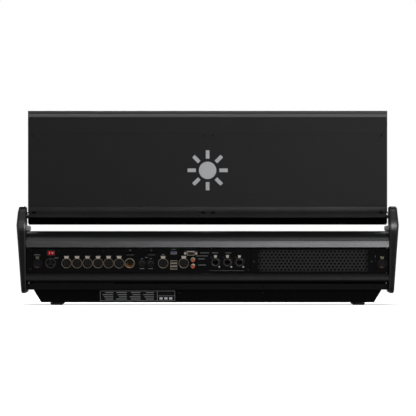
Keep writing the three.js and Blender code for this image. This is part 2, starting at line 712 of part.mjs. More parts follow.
const DRAWER = { front: FRONT + 12, face: FRONT + 18, back: FRONT + 187, low: TRAY_TOP + SHEET + 1 };
const drawerTray = join(
  prismX(
    [
      [DRAWER.front, DRAWER.low, 2],
      [DRAWER.face, DRAWER.low],
      [DRAWER.face, DRAWER_TOP],
      [DRAWER.front, DRAWER_TOP, 2],
    ],
    -DRAWER_HALF - 6,
    DRAWER_HALF + 6,
  ),
  cut(
    block(-DRAWER_HALF, DRAWER_HALF, DRAWER.face - 0.1, DRAWER.back, DRAWER.low, 54),
    block(
      -DRAWER_HALF + SHEET,
      DRAWER_HALF - SHEET,
      DRAWER.face + 1.9,
      DRAWER.back - SHEET,
      DRAWER.low + SHEET,
      60,
    ),
  ),
);
part(desk, "drawer_tray", drawerTray, BLACK_PAINT);

const KEYBOARD = {
  half: 222,
  front: FRONT + 29,
  back: FRONT + 163,
  low: DRAWER.low + SHEET + GAP,
  top: 48,
};
const keyboard = join(
  block(-KEYBOARD.half, KEYBOARD.half, KEYBOARD.front, KEYBOARD.back, KEYBOARD.low, KEYBOARD.top),
  range(6).map((row) => {
    const y = KEYBOARD.front + 10 + row * 20;
    return block(-KEYBOARD.half + 6, KEYBOARD.half - 6, y, y + 16, KEYBOARD.top - 0.5, KEYBOARD.top + 5);
  }),
);
part(desk, "keyboard", keyboard, BLACK_PLASTIC);

// ---- Monitor wing ----
const SEAM = { low: 190, high: 191.8, depth: 1.8 }; // between the main sheet and the top band
const BAND_BACK = COVER_BACK - 0.8; // the top band lies behind the main sheet's face
const coverShell = cut(
  prismX(
    [
      [BEZEL_BACK + GAP, 20.6],
      [COVER_BACK, 20.6],
      [COVER_BACK, SEAM.low],
      [COVER_BACK - SEAM.depth, SEAM.low],
      [COVER_BACK - SEAM.depth, SEAM.high],
      [BAND_BACK, SEAM.high],
      [BAND_BACK - 0.6, WING_TOP - 5.5],
      [BAND_BACK - 2.6, WING_TOP],
      [BEZEL_BACK + GAP, WING_TOP],
    ],
    -WING_HALF,
    WING_HALF,
  ),
  block(
    -WING_HALF + SHEET,
    WING_HALF - SHEET,
    BEZEL_BACK - 1,
    COVER_BACK - 2 * SHEET,
    20.6 + SHEET,
    WING_TOP - 5.5,
  ),
);
part(wing, "wing_rear_cover", coverShell, BLACK_PAINT);

const BEAM_END = 32; // solid end that grips a hinge pin
const beamSection = [
  [BEZEL_BACK + GAP, -22, 3],
  [12, -22, 4],
  [32, -4, 1.5],
  [25.5, 8, 7],
  [COVER_BACK, 20.3],
  [BEZEL_BACK + GAP, 20.3],
];
const beam = cut(
  prismX(beamSection, -WING_HALF, WING_HALF, 5),
  prismX([[-5, -19], [10, -19], [21, -8], [21, 17], [-5, 17]], -WING_HALF + BEAM_END, WING_HALF - BEAM_END),
  block(-60, 60, -4, 8, -30, -10), // cable way down into the desk
  [-1, 1].map((sign) => {
    const ends = [sign * (WING_HALF - 24), sign * (WING_HALF + 1)].sort((a, b) => a - b);
    return rod("x", PIN_RADIUS + GAP, ...ends, 0, 0, 32);
  }),
);
part(wing, "hinge_beam", beam, BLACK_ANODISED);
for (const [side, sign] of [["left", -1], ["right", 1]]) {
  const ends = [sign * (WING_HALF - 23), sign * (INNER + 15)].sort((a, b) => a - b);
  part(wing, `hinge_pin_${side}`, rod("x", PIN_RADIUS, ...ends, 0, 0, 32), STEEL);
}

const SCREEN = { x: 203, half: 186, low: 6, high: 230 };
const screenAt = { left: -SCREEN.x, right: SCREEN.x };
const bezel = cut(
  prismX(
    [
      [BEZEL_BACK, -20],
      [BEZEL_BACK, BEZEL_TOP, 1.5],
      [BEZEL_FRONT, BEZEL_TOP, 3],
      [BEZEL_FRONT, -20, 3],
    ],
    -BEZEL_HALF,
    BEZEL_HALF,
    3,
  ),
  Object.values(screenAt).map((x) =>
    block(x - SCREEN.half, x + SCREEN.half, BEZEL_FRONT - 1, BEZEL_BACK + 1, SCREEN.low, SCREEN.high),
  ),
);
part(wing, "wing_front_bezel", bezel, BLACK_PLASTIC);
for (const [side, x] of Object.entries(screenAt)) {
  const half = SCREEN.half - GAP;
  const glass = block(x - half, x + half, -19.4, -16, SCREEN.low + GAP, SCREEN.high - GAP);
  const panel = block(x - SCREEN.half + 6, x + SCREEN.half - 6, -16.1, 4, 26, SCREEN.high - 6);
  part(wing, `screen_${side}`, join(glass, panel), GLASS_BLACK);
}

export default desk;
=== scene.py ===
"""Lighting control desk with a tilting two-screen wing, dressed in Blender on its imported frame.

Every piece is made in millimetres in the local frame of the part it belongs to, then set in the
desk's own frame in metres: +Z up, +Y out of the socket panel, +X to the operator's right.
"""

import itertools
import json
import logging
import math
from dataclasses import dataclass, field
from enum import Enum
from typing import ClassVar, Iterable, Sequence

import bmesh
import bpy
from mathutils import Matrix, Vector


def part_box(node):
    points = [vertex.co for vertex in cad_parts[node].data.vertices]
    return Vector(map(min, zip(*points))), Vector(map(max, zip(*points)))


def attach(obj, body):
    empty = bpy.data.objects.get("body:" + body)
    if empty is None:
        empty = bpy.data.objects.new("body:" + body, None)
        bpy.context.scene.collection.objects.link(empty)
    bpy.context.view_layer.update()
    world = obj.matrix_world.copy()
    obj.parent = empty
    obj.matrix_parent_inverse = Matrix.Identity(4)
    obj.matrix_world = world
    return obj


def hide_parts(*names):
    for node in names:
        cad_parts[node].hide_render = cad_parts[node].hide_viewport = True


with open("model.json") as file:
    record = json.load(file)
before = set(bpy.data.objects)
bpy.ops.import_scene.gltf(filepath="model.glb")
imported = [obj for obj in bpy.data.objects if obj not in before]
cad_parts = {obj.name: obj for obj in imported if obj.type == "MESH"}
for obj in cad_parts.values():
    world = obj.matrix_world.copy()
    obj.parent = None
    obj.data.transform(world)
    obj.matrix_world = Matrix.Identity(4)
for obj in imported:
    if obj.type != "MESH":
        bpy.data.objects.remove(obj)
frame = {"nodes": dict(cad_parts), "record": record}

LOG = logging.getLogger("lighting_desk")
MM = 0.001
DUST_GREY = "#8a8680"
SMOOTH_BELOW = 32.0  # degrees between faces that shade as one
ROUND_ABOVE = 38.0  # degrees between faces whose edge is rounded
ROUND_STEPS = 2  # faces across a rounded edge
FLAT_WEIGHT = 80  # how far the largest faces set the shading
Point = tuple[float, float, float]
Outline = Sequence[tuple[float, float]]


def linear(hex_colour: str) -> tuple[float, float, float, float]:
    """Turn an sRGB colour into the linear one that shaders take.

    Args:
        hex_colour: Six hex digits after a hash sign.

    Returns:
        Linear red, green, blue and full alpha.
    """
    channels = [int(hex_colour[i : i + 2], 16) / 255 for i in (1, 3, 5)]
    bent = [c / 12.92 if c <= 0.04045 else ((c + 0.055) / 1.055) ** 2.4 for c in channels]
    return (*bent, 1.0)


def add_node(
    tree: bpy.types.NodeTree, kind: str, inputs: dict | None = None, **settings: object
) -> bpy.types.Node:
    """Add a node, set its properties, and give each input a value or a link.

    Args:
        tree: The node tree that takes the node.
        kind: The node's type name.
        inputs: Input name or number to a value, or to the output that feeds it.
        settings: Properties of the node itself.

    Returns:
        The new node.
    """
    node = tree.nodes.new(kind)
    for name, value in settings.items():
        setattr(node, name, value)
    for key, value in (inputs or {}).items():
        if isinstance(value, bpy.types.NodeSocket):
            tree.links.new(value, node.inputs[key])
        else:
            node.inputs[key].default_value = value
    return node


class Pattern(Enum):
    """How a surface was made, which sets the direction of its fine grain."""

    STIPPLED = (1.0, 1.0, 1.0)  # sprayed or moulded: even in every direction
    DRAWN = (0.02, 1.0, 1.0)  # pressed through a die along the desk: long fine lines
    TURNED = (1.0, 0.05, 1.0)  # cut on a lathe along the socket's axis


@dataclass(frozen=True)
class Finish:
    """A surface as its maker would order it: colour, gloss and the grain that the making left.

    The colour drifts between tint and shade in clouds of cloud_mm, and the roughness wanders by
    spread either way. Dust, coat, sheen and clear are shares from 0 to 1. The grain of real paint,
    plate and moulded skin is 0.1 to 0.5 mm, too fine to show on a whole desk, so grain_mm is drawn
    at 1 to 2 mm, and at the real size where that is coarser.
    """

    name: str
    tint: str
    shade: str
    roughness: float
    metallic: float = 0.0
    grain_mm: float = 1.6
    relief_mm: float = 0.02
    cloud_mm: float = 60.0
    spread: float = 0.06
    pattern: Pattern = Pattern.STIPPLED
    dust: float = 0.0
    coat: float = 0.0
    sheen: float = 0.0
    clear: float = 0.0
    ior: float = 1.5
    specular: float = 0.5
    made: ClassVar[dict[str, bpy.types.Material]] = {}

    def material(self) -> bpy.types.Material:
        """Make the material, or return it if it is made already.

        Returns:
            The material.
        """
        if self.name in self.made:
            return self.made[self.name]
        material = self.made[self.name] = bpy.data.materials.new(self.name)
        material.use_nodes = True
        material.diffuse_color = linear(self.tint)
        tree = material.node_tree
        shader = tree.nodes["Principled BSDF"]
        place = add_node(tree, "ShaderNodeTexCoord").outputs["Object"]
        laid = add_node(tree, "ShaderNodeMapping", {"Vector": place, "Scale": self.pattern.value})
        grain = add_node(
            tree,
            "ShaderNodeTexNoise",
            {"Vector": laid.outputs[0], "Scale": 1 / (self.grain_mm * MM), "Detail": 3.0},
        )
        cloud = add_node(
            tree,
            "ShaderNodeTexNoise",
            {"Vector": place, "Scale": 1 / (self.cloud_mm * MM), "Detail": 4.0, "Roughness": 0.6},
        )
        mixed = add_node(
            tree,
            "ShaderNodeMix",
            {0: cloud.outputs["Fac"], 6: linear(self.tint), 7: linear(self.shade)},
            data_type="RGBA",
        )
        colour = self._dusted(tree, mixed.outputs[2], grain.outputs["Fac"])
        gloss = add_node(
            tree,
            "ShaderNodeMapRange",
            {
                "Value": grain.outputs["Fac"],
                "From Min": 0.3,
                "From Max": 0.7,
                "To Min": self.roughness - self.spread,
                "To Max": self.roughness + self.spread,
            },
        )
        relief = add_node(
            tree,
            "ShaderNodeBump",
            {"Height": grain.outputs["Fac"], "Distance": self.relief_mm * MM, "Strength": 0.8},
        )
        tree.links.new(colour, shader.inputs["Base Color"])
        tree.links.new(gloss.outputs[0], shader.inputs["Roughness"])
        tree.links.new(relief.outputs[0], shader.inputs["Normal"])
        shader.inputs["Metallic"].default_value = self.metallic
        shader.inputs["Coat Weight"].default_value = self.coat
        shader.inputs["Sheen Weight"].default_value = self.sheen
        shader.inputs["Transmission Weight"].default_value = self.clear
        if self.metallic < 0.5:
            shader.inputs["IOR"].default_value = self.ior
            shader.inputs["Specular IOR Level"].default_value = self.specular
        return material

    def _dusted(
        self, tree: bpy.types.NodeTree, colour: bpy.types.NodeSocket, grain: bpy.types.NodeSocket
    ) -> bpy.types.NodeSocket:
        """Lay a thin pale dust on faces that look up.

        Args:
            tree: The material's node tree.
            colour: The clean colour.
            grain: Fine noise that breaks the dust up.

        Returns:
            The colour with dust on it.
        """
        if not self.dust:
            return colour
        normal = add_node(tree, "ShaderNodeNewGeometry").outputs["Normal"]
        upward = add_node(tree, "ShaderNodeSeparateXYZ", {0: normal}).outputs["Z"]
        share = add_node(
            tree, "ShaderNodeMapRange", {0: upward, 1: 0.5, 2: 1.0, 3: 0.0, 4: self.dust}
        )
        broken = add_node(
            tree, "ShaderNodeMath", {0: share.outputs[0], 1: grain}, operation="MULTIPLY"
        )
        dusty = add_node(
            tree,
            "ShaderNodeMix",
            {0: broken.outputs[0], 6: colour, 7: linear(DUST_GREY)},
            data_type="RGBA",
        )
        return dusty.outputs[2]


# Polyester powder coat sprayed on aluminium and baked: a fine orange peel that softens reflections.
POWDER = Finish(
    "satin_black_powder_coat", "#0c0c0d", "#131314", 0.5, grain_mm=1.4, relief_mm=0.03, dust=0.03,
    specular=0.16,
)
# The same coat on the socket panels, flatter, and blacker as painted shade on the recessed panels.
PANEL_POWDER_PAINTED_SHADE = Finish(
    "flat_powder_coat_painted_shade", "#070708", "#0b0b0c", 0.62, grain_mm=1.2, relief_mm=0.02,
    specular=0.06,
)
# Electrocoat on the folded tray, dipped and baked: a thin black film, darkened as painted shade.
ELECTROCOAT_AND_PAINTED_SHADE = Finish(
    "matt_black_coat_and_painted_shade", "#040405", "#070708", 0.7, grain_mm=2.0, relief_mm=0.01, specular=0.03
)
# Baked enamel on the punched grille: a little glossier, so the webs between holes catch light.
GRILLE_PAINT = Finish(
    "baked_enamel_grille", "#1b1b1d", "#242426", 0.42, grain_mm=1.2, relief_mm=0.01, specular=0.45
)
# Two-part paint over cast aluminium: thicker, with a slow wave and a satin gloss.
CHEEK_PAINT = Finish(
    "satin_painted_casting", "#0d0d0e", "#141415", 0.3, grain_mm=7.0, relief_mm=0.01, spread=0.03,
    dust=0.012, specular=0.62,
)
# Extruded aluminium, dyed black in the anodising bath: long die lines and a metallic glow.
ANODISED = Finish(
    "black_anodised_extrusion", "#3c3c3d", "#454546", 0.3, 0.97, 2.2, 0.004, spread=0.02,
    pattern=Pattern.DRAWN,
)
# Grey metal skin along the wing's top edge: a painted highlight that draws the lit edge as a thin
# pale line.
PAINTED_HIGHLIGHT_METAL = Finish(
    "painted_highlight_top_edge", "#6a6a6c", "#747476", 0.3, 0.97, 2.2, 0.004, spread=0.02,
    pattern=Pattern.DRAWN,
)
# The beam's extrusion, anodised darker and bead-blasted first: the same lines with a softer glow.
BLASTED_ANODISED = Finish(
    "blasted_black_anodised", "#1e1e1f", "#262627", 0.36, 0.97, 2.2, 0.004, spread=0.02,
    pattern=Pattern.DRAWN,
)
# Injection-moulded ABS with a spark-eroded texture: dull, even, slightly grey.
ABS = Finish("moulded_black_abs", "#141415", "#1b1b1c", 0.5, grain_mm=1.0, relief_mm=0.02)
# Foamed polyurethane skin of the palm rest: leathery grain and a soft sheen.
PALM_SKIN = Finish(
    "moulded_polyurethane_skin", "#161618", "#1d1d1f", 0.62, grain_mm=2.4, relief_mm=0.08,
    sheen=0.15,
)
# Black nitrile rubber: nearly no gloss.
RUBBER = Finish("moulded_nitrile_rubber", "#0b0b0b", "#131313", 0.85, grain_mm=1.5, relief_mm=0.05)
# Grey rubber of the buffers that the folded wing rests on.
BUFFER_RUBBER = Finish(
    "grey_buffer_rubber", "#8c8c8a", "#757577", 0.6, grain_mm=1.5, relief_mm=0.05
)
# Silicone rubber keys, moulded translucent grey and laser etched.
KEY_SILICONE = Finish(
    "moulded_silicone_keys", "#3a3b3f", "#434449", 0.55, grain_mm=0.9, relief_mm=0.02
)
# Polycarbonate window over the display, hard coated: near-mirror gloss with faint finger marks.
SCREEN_GLASS = Finish(
    "hard_coated_touch_glass", "#060709", "#0a0b0e", 0.07, grain_mm=25, relief_mm=0.0, spread=0.012,
    coat=0.4,
)
# Liquid crystal layer seen through the glass: a little bluer and greyer than the black border.
DISPLAY = Finish(
    "liquid_crystal_display", "#0d111b", "#11151f", 0.1, grain_mm=30, relief_mm=0.0, spread=0.012,
    coat=0.4,
)
# Zinc die casting with a champagne nickel plate: warm, softly shining socket rings.
CHAMPAGNE = Finish("champagne_plated_zinc", "#a39a86", "#837b6a", 0.36, 0.85, 1.2, 0.02)
# Bright nickel on pressed steel: shells and blades.
NICKEL = Finish("bright_nickel_plate", "#c9c4b8", "#a7a297", 0.26, 0.95, 1.2, 0.01)
# The same plate left satin on the latches, rims and hexagon posts: broad pale highlights.
SATIN_NICKEL = Finish("satin_nickel_plate", "#d9cfc2", "#bdb2a4", 0.42, 0.55, 1.2, 0.01)
# Tin-plated rims of the small shells, dulled by handling.
DULL_RIM = Finish("dull_tin_plate", "#6d6d70", "#57575a", 0.45, 0.7, 1.2, 0.01)
# Brass of the earth straps and pins, darkened by air: a dull warm brown.
BRASS = Finish("darkened_brass", "#8a5c22", "#6a441a", 0.4, 0.8, 1.0, 0.01)
# Gold flash on the contacts: small warm glints.
GOLD = Finish("gold_flashed_contact", "#c79a4a", "#a87c34", 0.3, 1.0, 1.0, 0.01)
# Black oxide on steel screws: dark metal with bright rims.
BLACK_OXIDE = Finish("black_oxide_steel", "#26262a", "#33333a", 0.32, 0.85, 1.0, 0.02)
# Glass-filled nylon of the socket inserts: dull, with a grey bloom.
NYLON = Finish(
    "glass_filled_black_nylon", "#0b0b0c", "#111112", 0.48, grain_mm=0.8, relief_mm=0.02,
    specular=0.2,
)
# Bottom of a contact hole: no light comes back out of it.
HOLE = Finish("unlit_hole", "#020202", "#040404", 0.95, grain_mm=1.0, relief_mm=0.0, specular=0.1)
# Polycarbonate rocker, dyed through: clear gloss red.
RED_ROCKER = Finish(
    "dyed_red_polycarbonate", "#b8121c", "#96101a", 0.28, grain_mm=3.0, relief_mm=0.01, coat=0.3
)
# Phenolic resin ball, cast and polished: deep red with a sharp highlight.
RED_RESIN = Finish(
    "polished_red_resin", "#7c1018", "#8f1820", 0.1, grain_mm=20, relief_mm=0.0, coat=0.8
)
# Moulded insulator of the phono sockets: a small spot of plain orange.
ORANGE_RING = Finish(
    "moulded_orange_insulator", "#d2552e", "#b84422", 0.4, grain_mm=1.0, relief_mm=0.01
)
# Moulded tongue of the fast USB socket: a thin line of plain blue.
BLUE_TONGUE = Finish("moulded_blue_tongue", "#24429a", "#1c347c", 0.4, grain_mm=1.0, relief_mm=0.01)
# White plastic marks, moulded in with the part: even and slightly warm.
WHITE_MARK = Finish("white_moulded_mark", "#e6e6e3", "#d6d6d2", 0.5, grain_mm=1.0, relief_mm=0.0)
# Two-part screen ink on powder coat: flat light grey with soft clouds of pigment.
INK = Finish(
    "screen_printed_grey_ink", "#b0b0b3", "#a6a6a9", 0.6, grain_mm=0.7, relief_mm=0.005, cloud_mm=25
)
# The same ink in fine lines, where the powder coat's grain breaks it up.
DIM_INK = Finish("fine_printed_grey_ink", "#7c7c7d", "#68686a", 0.6, grain_mm=0.7, relief_mm=0.005)
# Two-shot moulded fader cap: light grey, satin from the fingers.
FADER_CAP = Finish(
    "moulded_grey_fader_cap", "#b9b9b6", "#adada9", 0.42, grain_mm=0.9, relief_mm=0.01
)
# Solder mask over a copper board: glassy green with the copper's shadow in it.
BOARD = Finish("green_solder_mask", "#1d4a2c", "#255836", 0.35, grain_mm=2.0, relief_mm=0.02)
# Zinc-plated steel of the power supply, passivated black: cloudy dark metal.
STEEL = Finish("black_passivated_zinc", "#1c1c1d", "#262627", 0.5, 0.85, 2.0, 0.02)
# Open-cell polyurethane foam of the fan filter: a black sponge that shows its cells.
FOAM = Finish(
    "open_cell_filter_foam", "#060606", "#0c0c0c", 0.95, grain_mm=1.8, relief_mm=0.6, specular=0.05
)
# Ground and polished steel pins: a bright narrow highlight.
BRIGHT_PIN = Finish(
    "ground_steel_pin", "#b6b5b0", "#a2a19d", 0.25, 0.95, 1.0, 0.01, pattern=Pattern.TURNED
)
# Matt seamless paper of the studio floor: no highlight and hardly any grain.
STUDIO_PAPER = Finish(
    "matt_studio_paper", "#dcdcdb", "#d8d8d7", 0.9, grain_mm=8, relief_mm=0.0, cloud_mm=900
)


class Axis(Enum):
    """The local direction that a turned or extruded shape runs along."""

    X = 0
    Y = 1
    Z = 2

    def point(self, along: float, a: float, b: float) -> Point:
        """Place a distance along this axis and two across it.

        Args:
            along: The distance along it.
            a: The distance along the lower-lettered of the other two.
            b: The distance along the last.

        Returns:
            The point.
        """
        across = [a, b]
        across.insert(self.value, along)
        return tuple(across)


def local_frame(origin: Sequence[float], out: Sequence[float], up: Sequence[float]) -> Matrix:
    """Build a frame whose Y and Z run along two given directions.

    Args:
        origin: The frame's zero point, in metres.
        out: The direction of local Y.
        up: The direction of local Z.

    Returns:
        The matrix from the local frame to the desk's.
    """
    y, z = Vector(out).normalized(), Vector(up).normalized()
    turn = Matrix((y.cross(z), y, z)).transposed().to_4x4()
    return Matrix.Translation(Vector(origin)) @ turn


def joint(name: str) -> dict:
    """Return the record's entry for a joint."""
    return next(j for j in frame["record"]["behaviour"]["joints"] if j["name"] == name)


def centre_mm(node: str) -> Vector:
    """Return the middle of a node's box, in millimetres."""
    low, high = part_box(node)
    return (low + high) / 2 / MM


def local_mm(place: Matrix, point: Sequence[float]) -> Vector:
    """Turn a point in metres in the desk's frame into millimetres in a local one."""
    return place.inverted() @ Vector(point) / MM


class Workpiece:
    """A mesh being made in millimetres in a local frame, with a material slot for each finish."""

    def __init__(self, name: str, place: Matrix | None = None) -> None:
        """Start an empty piece.

        Args:
            name: The finished object's name.
            place: The local frame, or None for the desk's own.
        """
        self.name = name
        self.place = place or Matrix.Identity(4)
        self.mesh = bmesh.new()
        self.finishes: list[Finish] = []

    def paint(self, faces: Iterable[bmesh.types.BMFace], finish: Finish) -> None:
        """Give faces a finish.

        Args:
            faces: The faces.
            finish: Their finish.
        """
        if finish not in self.finishes:
            self.finishes.append(finish)
        for face in faces:
            face.material_index = self.finishes.index(finish)

    def block(self, low: Point, high: Point, finish: Finish, turn: Matrix | None = None) -> None:
        """Add a block between two corners.

        Args:
            low: Its lowest corner.
            high: Its highest corner.
            finish: Its finish.
            turn: A turn about its middle.
        """
        a, b = Vector(low), Vector(high)
        verts = bmesh.ops.create_cube(self.mesh, size=1.0)["verts"]
        size = Matrix.Diagonal((*(b - a), 1))
        shape = Matrix.Translation((a + b) / 2) @ (turn or Matrix.Identity(4)) @ size
        bmesh.ops.transform(self.mesh, matrix=shape, verts=verts)
        self.paint({face for vert in verts for face in vert.link_faces}, finish)

    def plate(
        self,
        x: float,
        z: float,
        half: float,
        tall: float,
        back: float,
        front: float,
        finish: Finish,
    ) -> None:
        """Add a block by its middle and half sizes across local Y.

        Args:
            x: Its middle along X.
            z: Its middle along Z.
            half: Half its width.
            tall: Half its height.
            back: Where it starts along Y.
            front: Where it ends.
            finish: Its finish.
        """
        self.block((x - half, back, z - tall), (x + half, front, z + tall), finish)

    def walls(
        self,
        x: float,
        z: float,
        level: Point,
        upright: Point,
        back: float,
        front: float,
        finish: Finish,
    ) -> None:
        """Add two level and two upright walls round an opening across local Y.

        Args:
            x: The opening's middle along X.
            z: The opening's middle along Z.
            level: Of the level walls: half the length, the distance out, half the thickness.
            upright: The same of the upright walls.
            back: Where they start along Y.
            front: Where they end.
            finish: Their finish.
        """
        for sign in (1, -1):
            self.plate(x, z + sign * level[1], level[0], level[2], back, front, finish)
        for sign in (-1, 1):
            self.plate(x + sign * upright[1], z, upright[2], upright[0], back, front, finish)

    def prism(self, outline: Outline, start: float, end: float, axis: Axis, finish: Finish) -> None:
        """Add an outline extruded along an axis.

        Args:
            outline: Corners across the axis.
            start: Where it starts along the axis.
            end: Where it ends.
            axis: The direction it runs.
            finish: Its finish.
        """
        ends = [
            [self.mesh.verts.new(axis.point(along, a, b)) for a, b in outline]
            for along in (start, end)
        ]
        faces = [self.mesh.faces.new(ends[0]), self.mesh.faces.new(ends[1][::-1])]
        count = len(outline)
        for i in range(count):
            j = (i + 1) % count
            faces.append(self.mesh.faces.new((ends[0][i], ends[1][i], ends[1][j], ends[0][j])))
        self.paint(faces, finish)

    def loft(self, rings: Sequence[Point], middle: tuple[float, float], finish: Finish) -> None:
        """Add a shape that stands on local Z, from rectangular rings.

        Args:
            rings: Half width, half depth and height of each ring, from the bottom up.
            middle: The rings' middle.
            finish: Its finish.
        """
        x, y = middle
        loops = []
        for half, deep, z in rings:
            corners = ((-half, -deep), (half, -deep), (half, deep), (-half, deep))
            loops.append([self.mesh.verts.new((x + a, y + b, z)) for a, b in corners])
        faces = [self.mesh.faces.new(loops[0][::-1]), self.mesh.faces.new(loops[-1])]
        for lower, upper in zip(loops, loops[1:]):
            for i in range(4):
                j = (i + 1) % 4
                faces.append(self.mesh.faces.new((lower[i], lower[j], upper[j], upper[i])))
        self.paint(faces, finish)

    def lathe(
        self,
        profile: Outline,
        at: Point,
        axis: Axis,
        finish: Finish,
        segments: int,
        flutes: int = 0,
        flute_depth: float = 0.0,
        turn: Matrix | None = None,
    ) -> None:
        """Turn a profile about an axis.

        Args:
            profile: Radius and height pairs, from one end to the other.
            at: The local point that height zero stands on.
            axis: The axis of turning.
            finish: Its finish.
            segments: Faces round the turn.
            flutes: Grip flutes round its widest rings.
            flute_depth: How deep a flute is.
            turn: A turn of the whole shape about that point.
        """
        widest = max(radius for radius, _ in profile)
        base, lean = Vector(at), (turn or Matrix.Identity(4)).to_3x3()
        rings: list[list[bmesh.types.BMVert]] = []
        for radius, height in profile:
            if radius <= 0:
                rings.append([self.mesh.verts.new(base + lean @ Vector(axis.point(height, 0, 0)))])
                continue
            ring = []
            for i in range(segments):
                angle = 2 * math.pi * i / segments
                r = radius
                if flutes and radius > widest - 1.5:
                    r -= flute_depth * (0.5 + 0.5 * math.cos(flutes * angle))
                offset = axis.point(height, r * math.cos(angle), r * math.sin(angle))
                ring.append(self.mesh.verts.new(base + lean @ Vector(offset)))
            rings.append(ring)
        faces = []
        for lower, upper in zip(rings, rings[1:]):
            for i in range(segments):
                j = (i + 1) % segments
                loop = ((lower, i), (lower, j), (upper, j), (upper, i))
                corners = dict.fromkeys(ring[k % len(ring)] for ring, k in loop)
                faces.append(self.mesh.faces.new(list(corners)))
        self.paint(faces, finish)

    def turned(self, profile: Outline, x: float, z: float, finish: Finish, segments: int) -> None:
        """Turn a profile about an axis along local Y, the way out of a panel."""
        self.lathe(profile, (x, 0, z), Axis.Y, finish, segments)

    def screw(
        self, at: Point, axis: Axis, finish: Finish, radius: float, sign: int = 1
    ) -> None:
        """Add a button-head screw with a hexagon socket, standing on a face.

        Args:
            at: The middle of the head where it meets the face.
            axis: The direction it faces.
            finish: Its finish.
            radius: Of its head.
            sign: -1 where it faces down the axis.
        """
        dome = [(radius, -0.4), (radius, 0.35), (radius * 0.8, 1.1), (radius * 0.5, 1.45)]
        socket = [(radius * 0.48, 1.42), (radius * 0.42, 0.5), (0, 0.45)]
        self.lathe([(r, h * sign) for r, h in dome + socket[:1]], at, axis, finish, 18)
        self.lathe([(r, h * sign) for r, h in socket], at, axis, HOLE, 6)

    def done(
        self,
        body: str,
        bevel_mm: float = 0.0,
        replaces: Sequence[str] = (),
    ) -> None:
        """Close the piece and fasten it to a body.

        Args:
            body: The body it rides on.
            bevel_mm: Rounding of its sharp edges.
            replaces: CAD nodes that it stands for.
        """
        bmesh.ops.recalc_face_normals(self.mesh, faces=self.mesh.faces[:])
        self.mesh.transform(self.place @ Matrix.Scale(MM, 4))
        data = bpy.data.meshes.new(self.name)
        self.mesh.to_mesh(data)
        self.mesh.free()
        made = bpy.data.objects.new(self.name, data)
        bpy.context.collection.objects.link(made)
        for finish in self.finishes:
            data.materials.append(finish.material())
        soften(made, bevel_mm)
        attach(made, body)
        if replaces:
            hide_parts(*replaces)
        LOG.info("%s rides on %s", self.name, body)


def soften(piece: bpy.types.Object, bevel_mm: float) -> None:
    """Shade a piece smooth between its sharp edges, and round those edges.

    Args:
        piece: The object.
        bevel_mm: Width of the rounding, or nothing for none.
    """
    piece.data.shade_smooth()
    piece.data.set_sharp_from_angle(angle=math.radians(SMOOTH_BELOW))
    if bevel_mm:
        bevel = piece.modifiers.new("rounded_edges", "BEVEL")
        bevel.width = bevel_mm * MM
        bevel.segments = ROUND_STEPS
        bevel.limit_method = "ANGLE"
        bevel.angle_limit = math.radians(ROUND_ABOVE)
        bevel.harden_normals = True
    else:
        evened = piece.modifiers.new("evened_shading", "WEIGHTED_NORMAL")
        evened.keep_sharp = True
        evened.weight = FLAT_WEIGHT


def dress(node: str, finish: Finish, bevel_mm: float = 0.0) -> None:
    """Give a CAD node its finish and soft edges.

    Args:
        node: The node's name.
        finish: Its finish.
        bevel_mm: Rounding of its sharp edges.
    """
    piece = frame["nodes"][node]
    piece.data.materials.clear()
    piece.data.materials.append(finish.material())
    for face in piece.data.polygons:
        face.material_index = 0
    soften(piece, bevel_mm)
    LOG.info("%s dressed in %s", node, finish.name)


def spoke(radius: float, degrees: float) -> tuple[float, float]:
    """Place a point on a circle about zero."""
    turn = math.radians(degrees)
    return radius * math.cos(turn), radius * math.sin(turn)


def arc(radius: float, start: float, end: float, steps: int) -> list[tuple[float, float]]:
    """Place points on a circle about zero, from one angle in degrees to another."""
    return [spoke(radius, start + (end - start) * i / steps) for i in range(steps + 1)]


class SocketKind(Enum):
    """The round panel sockets, by what sits in their ring."""

    FEMALE = "five contact holes, with a latch"
    MALE = "five brass pins in a cup"
    NETWORK = "a square jack in a black shell, with a latch"
    LAMP = "four holes in a small black ring"
    MAINS = "three blades in a black cup"
    DIN = "five holes in a thin black ring"


